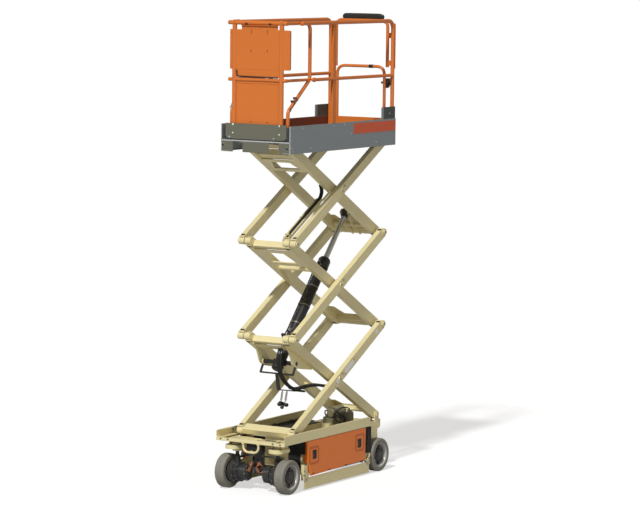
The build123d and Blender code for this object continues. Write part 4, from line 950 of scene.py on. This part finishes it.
# blank plates on the lowest outer arms: start and end along the arm, width
plate_place = arm_frame("outer", 1)
plate_face = plate_place @ Matrix.Translation((0, 311.9, 0)) @ FACING_SIDE
blanks = [extruded(rounded_outline(along, (-deep / 2, deep / 2), 6), 0, 0.5, plate_face)
          for along, deep in (((1010, 1185), 52), ((838, 918), 50), ((1650, 1700), 44))]
piece("arm_plates", "outer_1", label_white, blanks)
bolts("arm_plate_rivets", "outer_1", [plate_place @ Vector((along, 312.4, above)) for along, above in (
    (1198, 14), (1000, -14), (928, 10), (828, -6),
    (800, -20))], (0, 1, 0), 0.009, 0.003, 0.006, finish=dull_steel)

# tray for the control cable, hung on the pins at its two ends
tray_place = arm_frame("outer", 3)
piece("cable_tray", "outer_3", cream, on(tray_place,
    box((112, 765), (96, 110), (-32, -8)), box((112, 765), (150, 164), (-32, -8)),
    box((112, 765), (96, 164), (-32, -29)), box((104, 112), (96, 180), (-32, -10)),
    box((100, 112), (168, 180), (-32, 48)), box((0, 112), (172, 180), (39, 48)),
    box((765, 905), (164, 174), (-32, -12)), band(FACING_SIDE, 170, 180, 20, 31, 32),
    box((-12, 12), (171, 179), (26, 48)),
    band(Matrix.Translation((900, 0, 0)) @ FACING_SIDE, 166, 174, 17, 27, 32)), 1.0)
piece("control_cable", "outer_3", black_rubber, [
    placed(spline_shape([(116, y, -19), (300, y, -18), (560, y, -19), (735, y, -18), (790, y, -10),
                         (826, y + 4, 22), (838, y + 6, 66),
                         (836, y + 6, 96)], 9.5), tray_place) for y in (120, 140)])
piece("tray_lining", "outer_3", matt_black_and_painted_shade, on(tray_place, box((113, 764), (109, 151), (-29.5, -22))))
bolts("tray_bolts", "outer_3", [tray_place @ Vector((along, y, -7.6)) for along in (150, 440, 730)
                                for y in (103, 157)],
      tuple(tray_place.to_3x3() @ Vector((0, 0, 1))), 0.010, 0.005, 0.007)

# ---- lift cylinder ---------------------------------------------------------------------
# X runs along the barrel from its trunnion, Z above it
piece("cylinder_rings", "barrel", gloss_black, on(CYLINDER,
    turned([(1090, 49), (1090, 60), (1096, 63), (1112, 63), (1118, 60), (1182, 60), (1190, 55), (1200, 47),
            (1204, 38), (1204, 27), (1190, 27), (1190, 40), (1120, 49)], ALONG_CYLINDER, 56, ring=True),
    turned([(-48, 49), (-48, 55), (-42, 57), (-36, 55), (-36, 49)], ALONG_CYLINDER, 48, ring=True),
    band(ALONG_CYLINDER, 700, 712, 49, 53, 48),
    band(ALONG_CYLINDER, 330, 342, 49, 53, 48)))
piece("cylinder_ports", "barrel", dull_steel, on(CYLINDER,
    rod((1120, 0, 70), (1120, 0, 80), 12, 6, 1), rod((1020, 0, 68), (1020, 0, 75), 13, 6, 1),
    rod((240, 22, 62), (240, 44, 62), 10, 6, 1), rod((296, -24, 66), (296, -42, 66), 9, 6, 1),
    box((318, 352), (-14, 14), (50, 62))), 0.6)
piece("cylinder_valve_coil", "barrel", black_plastic, on(CYLINDER,
    rod((268, 22, 64), (268, 62, 64), 15, 28, 2), box((252, 284), (-48, -22), (52, 80))), 1.2)
piece("cylinder_lines", "barrel", black_rubber, on(CYLINDER,
    spline_shape([(1120, 0, 76), (1098, 8, 79), (1060, 24, 68), (1010, 38, 48), (900, 41, 41),
                  (600, 41, 41), (400, 41, 41), (320, 43, 42), (270, 50, 44), (240, 52, 56),
                  (240, 44, 62)], 7.0),
    spline_shape([(296, -40, 66), (280, -54, 64), (200, -56, 50), (120, -57, 40), (40, -60, 44),
                  (-30, -60, 30), (-70, -56, 0)], 7.0)))
piece("rod_end_cover", "rod", gloss_black, on(CYLINDER,
    placed(turned([(-30, 20), (-30, 38), (-26, 41), (26, 41), (30, 38), (30, 20)], FACING_SIDE, 40,
                  ring=True),
           Matrix.Translation((1758.6, 0, 0))),
    turned([(1700, 26.2), (1700, 33), (1704, 35), (1722, 35), (1726, 26.2)], ALONG_CYLINDER, 40,
           ring=True)))
piece("cylinder_clips", "barrel", dull_steel, on(CYLINDER,
    *[band(ALONG_CYLINDER, along, along + 14, 50.5, 52.5, 48)
      for along in (430, 640, 860)],
    *[band(Matrix.Translation((0, 41, 41)) @ ALONG_CYLINDER, along, along + 14, 7.6, 9.6, 24)
      for along in (430, 640, 860)]))
piece("rod_wiper", "barrel", black_rubber, on(CYLINDER,
    turned([(1200, 26.5), (1200, 36), (1207, 34), (1210, 29), (1210, 26.5)], ALONG_CYLINDER, 40,
           ring=True)))
eye_place = arm_frame("inner", 3) @ Matrix.Translation((270, 0, 60))
piece("rod_eye_pin", "inner_3", dull_steel, [
    placed(turned([(-58, 0), (-58, 17), (-56, 19), (56, 19), (58, 17), (58, 0)], FACING_SIDE, 32),
           eye_place),
    *[placed(band(FACING_SIDE, low, low + 5, 18, 27, 32), eye_place)
      for low in (-54, 49)]])
cheek = arm_frame("inner", 1)
piece("cheek_plates", "inner_1", cream, [
    turned([(0, 20.8), (0, 33), (5, 33), (6.5, 31), (6.5, 20.8)],
           turning_about((TRUNNION.x, side * 175, TRUNNION.z), (0, -side, 0)), 36,
           ring=True) for side in (1, -1)])
cheek_spots = [(1530, -96), (1452, -134), (1300, -52), (1700, -30)]
bolts("cheek_bolts", "inner_1",
      [cheek @ Vector((along, side * 174.8, above)) for side in (1, -1) for along, above in cheek_spots],
      [(0, -1, 0)] * 4 + [(0, 1, 0)] * 4, 0.014, 0.007, 0.010)

# ---- hose ties and hand release ---------------------------------------------------------
tie = frame_ring(rounded_outline((56, 112), (-11.5, 11.5), 8), rounded_outline((57.5, 110.5), (-10, 10), 7),
                 -4, 4)
piece("hose_ties", "inner_1", black_plastic, on(cheek, *[
    placed(tie, frame_at((along, 0, above), (0, 1, 0), (math.cos(lean), 0, math.sin(lean))))
    for along, above, lean in ((1312, -291, 0.0), (1155, -226, -0.5), (1008, -137, -0.45),
                               (700, -31, 0.0))]), 0.5)
piece("hose_fittings", "inner_1", dark_paint, on(cheek,
    *[rod((1661.5, y, -44), (1660.5, y, -72), 10.5, 6, 1) for y in HOSE_YS],
    *[rod((1660.5, y, -72), (1660, y, -96), 9.6, 20, 1) for y in HOSE_YS],
    *[rod((650, y, -31), (622, y, -31), 10.5, 6, 1) for y in HOSE_YS]))
wrap = [(1300, -291), (1228, -266), (1155, -226), (1085, -180), (1008, -137), (922, -96), (830, -60),
        (760, -40)]
piece("hose_sleeve", "inner_1", black_rubber, on(cheek,
    *[spline_shape([(along, y, above) for along, above in wrap], 13.5) for y in HOSE_YS]))
piece("release_rod_sleeves", "inner_1", chrome, on(cheek,
    rod((1304, 0, -337), (1284, 0, -413), 10, 24, 1), rod((1232, 0, -311), (1212, 0, -387), 10, 24, 1)))
lobes = [placed(turned([(-58, 0), (-58, 10), (-51, 17), (-36, 19), (-20, 14), (20, 14), (36, 19), (51, 17),
                        (58, 10), (58, 0)],
                       FACING_SIDE, 28), Matrix.Translation((1236, 0, -439))),
         turned([(-64, 0), (-64, 11), (-58, 17), (-44, 17), (-34, 12), (0, 10), (0, 0)],
                Matrix.Translation((1236, 0, -417)), 28)]
piece("release_knob_lobes", "inner_1", black_plastic, on(cheek, *lobes))
piece("release_rod_nuts", "inner_1", dull_steel, on(cheek,
    *[rod(start, end, 9.5, 6, 0.8) for start, end in (
        ((1303, 0, -341), (1299, 0, -352)), ((1231, 0, -315), (1227, 0, -326)),
        ((1287, 0, -402), (1283, 0, -413)), ((1215, 0, -376), (1211, 0, -387)))]))

# ---- platform ------------------------------------------------------------------------------
piece("deck_edge_trim", "platform", edge_grey, [
    box((905, 914), (-379.5, 379.5), (DECK_Z - 10.5, DECK_Z + 1)),
    *both_sides(box((905, 914), (373, 381), (SKIRT_LOW, TOE_TOP))),
    *both_sides(box((904, 913.5), (-380, -300), (SKIRT_LOW + 3, SKIRT_LOW + 7)))], 0.6)
piece("toe_board_seal", "extension", black_rubber, [
    spline_shape([(911, -332, DECK_Z + 30), (911.5, -330, DECK_Z + 12), (911.5, -310, DECK_Z + 7),
                  (911.5, 0, DECK_Z + 6), (911.5, 310, DECK_Z + 7), (911.5, 330, DECK_Z + 12),
                  (911, 332, DECK_Z + 30)], 4.8),
    box((896, 909), (-330, 330), (DECK_Z + 1, DECK_Z + 5.5))])
toe_spots = [(908.5, side * 255, z) for side in (1, -1) for z in (3407, 3331)]
toe_spots += [(908.5, y, 3293) for y in (-293, 197)]
bolts("toe_board_bolts", "extension", toe_spots, (1, 0, 0), 0.016, 0.006, 0.011, finish=bright_bolt)
# holes in the front beam: matt black discs of painted shade, with grey rims
beam_spots = [(912.5, y, z) for y, z in ((-359, 3217), (346, 3204))]
piece("beam_hole_shade", "platform", matt_black_and_painted_shade,
      [turned([(0, 0), (0, 12), (1.4, 12), (1.4, 0)], turning_about(spot, (1, 0, 0)), 28)
       for spot in beam_spots])
piece("beam_hole_rims", "platform", grey,
      [turned([(0, 12), (0, 16), (2.4, 15), (2.4, 12)], turning_about(spot, (1, 0, 0)), 28, ring=True)
       for spot in beam_spots])
piece("top_web_cover", "inner_3", cream,
      [placed(box((1688, 1768), (-138, 138), (30, 35)), arm_frame("inner", 3))], 0.8)
# matt black sheets that close the view into the chassis ahead of the doors: painted shade
piece("front_side_shade_sheets", "chassis", matt_black_and_painted_shade, both_sides(box((566, 570), (-360, -300), (336, 460))))
piece("front_beam_skin", "platform", front_grey, [
    box((912.4, 913.3), y, (SKIRT_LOW + 1, DECK_Z - 11)) for y in ((-372, -256), (-141, 141), (256, 372))])


def side_face(side):
    return frame_at((0, side * HALF, 0), (1, 0, 0), (0, side, 0))


for side_name, side in SIDES:
    sign = -1 if side > 0 else 1
    heights = sorted((sign * 3295, sign * 3394))
    piece(f"{side_name}_rear_stripe", "platform", stripe_red,
          [extruded(rounded_outline((-951, -188), heights, 2), -0.3, 0.7, side_face(side))])
    kick_y = sorted((side * 371.3, side * 380.7))
    piece(f"{side_name}_rear_kick_cover", "platform", kick_green, [
        box((-945, -735), kick_y, (TOE_TOP + 1, 3526))], 1.2)
    bolts(f"{side_name}_kick_bolts", "platform", [(-840, side * 380.7, 3463)], (0, side, 0), 0.013, 0.005,
          0.008, finish=bright_bolt)
    bolts(f"{side_name}_skirt_bolts", "platform",
          [(x, side * 380, z) for x, z in ((700, 3386), (150, 3391), (-150, 3300), (-30, 3392), (860, 3180),
                                           (880, 3210), (560, 3200), (-600, 3200), (855, 3385))],
          (0, side, 0), 0.012, 0.003, 0.008, finish=bright_bolt)
    # inner faces of the toe boards: orange darkened as painted shade
    liner_y = sorted((side * 371.9, side * 370.6))
    piece(f"{side_name}_toe_liner", "platform", painted_shade_orange,
          [box((-956, -62), liner_y, (DECK_Z + 1, TOE_TOP - 3))])
    inner_y = sorted((side * 327.9, side * 326.4))
    piece(f"{side_name}_extension_liner", "extension", painted_shade_orange,
          [box((-58, 898), inner_y, (DECK_Z + 13, TOE_TOP - 15))])
piece("rear_gate_liner", "gate", orange, [box((-920.9, -919.6), (-262, 262), (DECK_Z + 11, TOE_TOP - 4))])


def tread(name, body, along, across, z):
    """Lozenges on a deck, 31 mm apart along it and 29 mm across, each crossing its neighbours."""
    grid = [(x, y) for x in along for y in across]
    leans = [math.radians(45 if (round(x / 31) + round(y / 29)) % 2 else -45) for x, y in grid]
    grown(name, body, tread_plate, TREAD, [(x, y, z) for x, y in grid], leans=leans)


tread("extension_tread", "extension", range(-30, 890, 31), range(-290, 301, 29), DECK_Z + 12.4)
tread("deck_tread", "platform", range(-900, -80, 31), range(-333, 345, 29), DECK_Z + 0.4)
piece("extension_sill", "extension", edge_grey, [
    box((-72, -58), (-334, 334), (DECK_Z + 1, DECK_Z + 13.5)),
    *both_sides(box((-58, 902), (322, 327), (DECK_Z + 11, DECK_Z + 16)))], 1.2)

piece("deck_joists", "platform", grey, both_sides(
    box((-860, 860), (338, 342), (DECK_Z - 50, DECK_Z - 10))), 0.8)

# front frame: upper plate, lower panel and their fittings
plate_x = 889.0
front_plate = piece("upper_plate", "extension", orange, [
    box((plate_x - 5, plate_x), (-305, 354), (3920, 4285)),
    box((plate_x - 5, plate_x - 1), (-236, 236), (3848, 3922))], 1.2)
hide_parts("front_plate")
piece("upper_plate_hangers", "extension", black_plastic, [
    box((903, 909), (y - 11, y + 11), (4329, 4346)) for y in (-116, 142)], 1.0)
piece("upper_plate_lip", "extension", matt_black_and_painted_shade, [
    spline_shape([(891, -226, 3912), (893, -224, 3868), (894, -218, 3856), (894, -150, 3854),
                  (894, 20, 3852), (894, 150, 3851), (893, 226, 3850)], 5.5, sides=3)])
piece("upper_plate_hem", "extension", orange, [
    box((plate_x - 5, plate_x), (-176, 220), (4284, 4327)),
    box((plate_x - 5, plate_x + 16), (-176, 220), (4321, 4327)),
    box((866, 886), (-304, -300), (3925, 4280)), box((866, 886), (349, 353), (3925, 4280)),
    box((872, 886), (-150, -132), (3940, 4270)), box((872, 886), (150, 168), (3940, 4270))], 0.8)
# slots in the front plates, coloured brown as painted shade
slots = []
for y in (-70, 107):
    slots += [rounded_outline((y - 3.2, y + 3.2), (4246, 4287), 3),
              rounded_outline((y - 3.2, y + 3.2), (4078, 4106), 3)]
piece("upper_plate_slots", "extension", slot_shade_brown,
      [extruded(outline, plate_x - 1, plate_x + 0.5, FACING_AHEAD) for outline in slots])
piece("lower_panel_ribs", "extension", orange, [
    box((883.3, 886.5), (-232, 232), (3790, 3806)), box((883.3, 885), (-234, -226), (3282, 3806)),
    box((883.3, 885), (226, 234), (3282, 3806))], 0.8)
# slots in the lower panel, brown as painted shade
piece("panel_slots", "extension", slot_shade_brown,
      [extruded(rounded_outline((y - 14, y + 14), (3436, 3441), 2), 883, 883.9, FACING_AHEAD)
       for y in (-70, 107)])
bolts("upper_plate_screws", "extension", [(plate_x, y, z) for y in (-288, 335) for z in (3950, 4255)],
      (1, 0, 0), 0.010, 0.003, 0.007, finish=orange)
on_top_rail = turning_about((FRONT_POST_X, FRONT_POST_Y, RAIL_Z), (0, 1, 0))
top_rail_end = turning_about((FRONT_POST_X, 318, RAIL_Z), (0, 1, 0))
mid_rail_end = turning_about((FRONT_POST_X, 315, MID_RAIL_Z), (0, 1, 0))
piece("rail_end_caps", "extension", orange,
      both_sides(band(on_top_rail, -14, 14, 21.5, 26, 36),
                 band(turning_about((878, FRONT_POST_Y, 3278), (0, 0, 1)), 0, 10, 22, 24, 36)) +
      both_sides(turned([(0, 0), (0, 19.6), (4, 19.6), (6, 16), (6, 0)], top_rail_end, 32),
                 turned([(0, 0), (0, 16.6), (4, 16.6), (5, 14), (5, 0)], mid_rail_end, 32)))

# slanting tube's latch: clip, pin and lanyard
for side_name, side in SIDES:
    lean = frame_at((742, side * 308.5, 3642), (-0.81, 0, 0.58), (0, side, 0))
    piece(f"{side_name}_slant_latch", "extension", dull_steel, on(
        lean, rod((-34, 0, 18), (34, 0, 18), 5, 14, 1), box((-30, -22), (-19, 19), (-19, 22)),
        box((20, 28), (-19, 19), (-19, 22)), rod((4, 0, 14), (4, 0, 40), 7.5, 18, 1),
        rod((-10, -3, 26), (16, 3, 26), 3, 12)), 0.6)
    piece(f"{side_name}_slant_lanyard", "extension", black_plastic, [spline_shape([
        (770, side * 330, 3628), (782, side * 338, 3618), (800, side * 338, 3596), (818, side * 336, 3580),
        (830, side * 328, 3566)], 3.2)])
    ring = around(frame_at((832, side * 327, 3560), (1, 0, 0), (0, -1, 0)), 8, 15, 0)
    piece(f"{side_name}_lanyard_ring", "extension", dull_steel, [spline_shape(ring, 3.0, closed=True)])

# side rails, gate and rear hoop
post_bolts = [(130, side * 361.9, z) for side in (1, -1) for z in (3420, 3800, 4290)]
bolts("rail_post_bolts", "platform", post_bolts, [(0, 1, 0)] * 3 + [(0, -1, 0)] * 3, 0.013, 0.005, 0.009,
      finish=orange)
piece("rail_post_feet", "platform", orange, both_sides(
    box((88, 172), (336, 371), (DECK_Z, DECK_Z + 7)), box((88, 172), (364, 371), (DECK_Z, DECK_Z + 90)),
    turned([(0, 19.5), (0, 27), (7, 27), (9, 24), (9, 19.5)],
           turning_about((-932.5, RAIL_Y, DECK_Z), (0, 0, 1)), 32, ring=True)),
    0.8)
piece("rail_collars", "platform", orange, both_sides(
    band(turning_about((460, RAIL_Y, MID_RAIL_Z), (1, 0, 0)), 0, 16, 16.5, 21, 32),
    band(turning_about((672, RAIL_Y, RAIL_Z), (1, 0, 0)), 0, 20, 19.5, 23, 32)))
piece("rail_ends", "platform", orange, both_sides(
    turned([(0, 0), (0, 19), (5, 17), (9, 11), (10, 0)], turning_about((684, RAIL_Y, RAIL_Z), (1, 0, 0)),
           32),
    turned([(0, 0), (0, 16), (42, 16), (48, 13), (50, 0)],
           turning_about((456, RAIL_Y, MID_RAIL_Z), (1, 0, 0)), 32)))
GATE_X, GATE_HALF, GATE_BAR_Z = -925.0, 267.0, 3905.0
gate_half = [(-GATE_HALF, DECK_Z + 8), (-GATE_HALF, 3500), (-GATE_HALF, 3760), (-GATE_HALF, 3862),
             (-222, GATE_BAR_Z), (-120, GATE_BAR_Z)]
gate_line = [(GATE_X, y, z) for y, z in gate_half + [(-y, z) for y, z in reversed(gate_half)]]
gate = piece("gate_loop", "gate", orange, [
    spline_shape(gate_line, 15.0),
    box((GATE_X - 4, GATE_X + 4), (-GATE_HALF, GATE_HALF), (DECK_Z + 8, TOE_TOP))])
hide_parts("gate")
piece("far_post_ring", "platform", dull_steel, both_sides(spline_shape(
    [(154, 332, 3626), (120, 322, 3632), (112, 322, 3568), (120, 322, 3512), (150, 332, 3510)], 3.2)))
piece("gate_latch", "platform", black_plastic, [
    extruded([(254, 3792), (346, 3796), (344, 3776), (312, 3706), (286, 3698), (262, 3716), (250, 3760)],
             -945, -932, FACING_AHEAD),
    rod((-932, 300, 3752), (-916, 300, 3752), 15, 24, 2), box((-940, -912), (236, 262), (3742, 3762))], 2.0)
piece("gate_latch_bolts", "platform", dull_steel, [
    turned([(0, 0), (0, 8), (5, 8), (6, 6), (6, 0)], turning_about((-932, y, z), (1, 0, 0)), 18)
    for y, z in ((330, 3780), (276, 3722))])
piece("gate_grip", "gate", matt_black_and_painted_shade,
      [band(Matrix.Translation((GATE_X, 0, GATE_BAR_Z)) @ FACING_SIDE, 96, 140, 15.3, 17.4, 28)])
piece("gate_step_bracket", "platform", edge_grey, [box((-952, -936), (298, 326), (3436, 3474))], 1.5)
piece("rear_post_plate", "platform", orange, [
    extruded(rounded_outline((326, 372), (3888, 4322), 8), -952, -948, FACING_AHEAD)], 0.8)
# holes in the rear post plate: matt black patches, painted shade
piece("rear_post_hole_shade", "platform", matt_black_and_painted_shade, [
    extruded(rounded_outline((347, 353), (z, z + 14), 3), -947.8, -947.2, FACING_AHEAD)
    for z in (3900, 3960, 4130, 4250)])
piece("hoop_buffer", "platform", matt_black_and_painted_shade, [
    extruded(rounded_outline((252, 284), (4318, 4334), 4), -945, -929,
             FACING_AHEAD)], 1.5)


def rail_pad():
    """Wrapped foam pad over the rear hoop's top rail: full in the middle, tucked in at both ends."""
    low_y, high_y = -219.0, 251.0
    low_z, high_z, low_x, high_x = 4360.0, 4413.0, -956.0, -917.5
    rings, steps = 56, 28
    squareness, seam_steps = 3.2, (3, 11)
    points, faces = [], []
    for i in range(rings):
        share = i / (rings - 1)
        y = low_y + (high_y - low_y) * share
        end = min(share, 1 - share) * (high_y - low_y)
        tuck = min(1.0, end / 16.0)
        full = math.sqrt(max(0.02, 1 - (1 - tuck) ** 2))
        slope = min(1.0, (high_y - y) / 46.0, (y - low_y) / 34.0)
        crown = 1.0 + 0.006 * math.sin(share * 23.0)
        swell = 0.985 + 0.015 * math.sin(share * math.pi)
        top = low_z + (high_z - low_z) * (0.70 + 0.30 * max(0.0, slope)) * swell
        half_x, half_z = (high_x - low_x) / 2, (top - low_z) / 2
        for j in range(steps):
            angle = math.tau * j / steps
            c, s = math.cos(angle), math.sin(angle)
            bulge = (abs(c) ** squareness + abs(s) ** squareness) ** (-1 / squareness)
            seam = 0.965 if j in seam_steps else 1.0
            x = (low_x + high_x) / 2 + half_x * c * bulge * min(1.0, full * crown) * seam
            z = low_z + half_z + half_z * s * bulge * full * seam
            points.append((x, y, z))
        if i:
            first, last = (i - 1) * steps, i * steps
            faces += [(first + j, first + (j + 1) % steps, last + (j + 1) % steps, last + j)
                      for j in range(steps)]
    faces += [tuple(range(steps)), tuple(range((rings - 1) * steps, rings * steps))]
    pad = piece("rear_rail_pad", "platform", pad_vinyl, [(points, faces)], sharp=60.0)
    round_off = pad.modifiers.new("rounded", "SUBSURF")
    round_off.levels = round_off.render_levels = 1
    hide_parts("hoop_pad")


rail_pad()

# ---- CAD parts whose finish isn't their slot's ---------------------------------------
NODES["extension_toe_board"].data.materials[0] = front_grey
# hydraulic unit: cream paint darkened as painted shade
NODES["hydraulic_unit"].data.materials[0] = olive
# doors: orange paint made brighter as painted light
for side_name, _ in SIDES:
    NODES[f"door_{side_name}"].data.materials[0] = painted_light_door_orange
for stack in (1, 2, 3):
    NODES[f"inner_pins_{stack}"].data.materials[0] = cream
NODES["base_rollers"].data.materials[0] = dull_steel


# ---- studio ----------------------------------------------------------------------
SKY, SUN, FLOOR_GLOW = 0.25, 2.7, 0.585
SKY_TINT = (1.0, 0.965, 0.885, 1.0)     # of the light, while the surroundings are seen white
SUN_DIRECTION = (-0.68, -0.12, -0.72)
WHITE = (1.0, 1.0, 1.0, 1.0)


def lamp(name, kind, energy, direction, location=(0, 0, 0), **settings):
    light = bpy.data.lights.new(name, kind)
    light.energy = energy
    for key, value in settings.items():
        setattr(light, key, value)
    holder = bpy.data.objects.new(name, light)
    holder.location = location
    holder.rotation_euler = Vector(direction).to_track_quat("-Z", "Y").to_euler()
    bpy.context.scene.collection.objects.link(holder)


def studio():
    """White surroundings, pale floor, high sun from ahead and a weak fill from the left."""
    scene = bpy.context.scene
    scene.view_settings.view_transform = "Standard"
    world = bpy.data.worlds.new("studio")
    scene.world = world
    world.use_nodes = True
    tree = world.node_tree
    seen = tree.nodes["Background"]
    seen.inputs["Strength"].default_value = 1.02
    lighting = node(tree, "ShaderNodeBackground", {"Color": SKY_TINT, "Strength": SKY})
    seen.inputs["Color"].default_value = WHITE
    blend = tree.nodes.new("ShaderNodeMixShader")
    path = tree.nodes.new("ShaderNodeLightPath")
    tree.links.new(path.outputs["Is Camera Ray"], blend.inputs[0])
    tree.links.new(lighting.outputs[0], blend.inputs[1])
    tree.links.new(seen.outputs[0], blend.inputs[2])
    tree.links.new(blend.outputs[0], tree.nodes["World Output"].inputs["Surface"])

    mesh = bpy.data.meshes.new("floor")
    reach = 60.0
    corners = [(-reach, -reach, 0), (reach, -reach, 0), (reach, reach, 0), (-reach, reach, 0)]
    mesh.from_pydata(corners, [], [(0, 1, 2, 3)])
    floor = bpy.data.objects.new("floor", mesh)
    scene.collection.objects.link(floor)
    material, tree, shader = new_material("floor", 0.75)
    place = object_place(tree)
    tone = math_node(tree, "ADD", math_node(tree, "MULTIPLY", noise(tree, place, 0.8), 0.02), 0.50)
    tree.links.new(scaled_colour(tree, (1.0, 1.0, 1.0), tone), shader.inputs["Base Color"])
    shader.inputs["Specular IOR Level"].default_value = 0.1
    shader.inputs["Emission Color"].default_value = WHITE
    path = tree.nodes.new("ShaderNodeLightPath")
    glow = math_node(tree, "MULTIPLY", path.outputs["Is Camera Ray"], FLOOR_GLOW)
    tree.links.new(glow, shader.inputs["Emission Strength"])
    mesh.materials.append(material)

    lamp("sun", "SUN", SUN, SUN_DIRECTION, angle=math.radians(4.0))
    side_fill = Vector((5.0, 9.0, 2.5))
    lamp("side fill", "AREA", 60.0, Vector((0, 0, 1.0)) - side_fill, side_fill, size=5.0)


def camera():
    """Long lens a little above the platform's foot, seen from ahead and to the left."""
    yaw, pitch, roll = math.radians(212.513), math.radians(-5.777), math.radians(0.594)
    ahead = Vector((math.cos(yaw) * math.cos(pitch), math.sin(yaw) * math.cos(pitch), math.sin(pitch)))
    level = Vector((math.sin(yaw), -math.cos(yaw), 0.0))
    above = level.cross(ahead)
    right = level * math.cos(roll) + above * math.sin(roll)
    up = above * math.cos(roll) - level * math.sin(roll)
    data = bpy.data.cameras.new("camera")
    data.sensor_width, data.lens = 36.0, 172.14
    data.shift_x, data.shift_y = 0.0217, -0.0018
    data.clip_end = 200.0
    view = bpy.data.objects.new("camera", data)
    turn = Matrix((right, up, -ahead)).transposed().to_4x4()
    view.matrix_world = Matrix.Translation((24.309, 15.489, 5.050)) @ turn
    bpy.context.scene.collection.objects.link(view)
    bpy.context.scene.camera = view


studio()
camera()
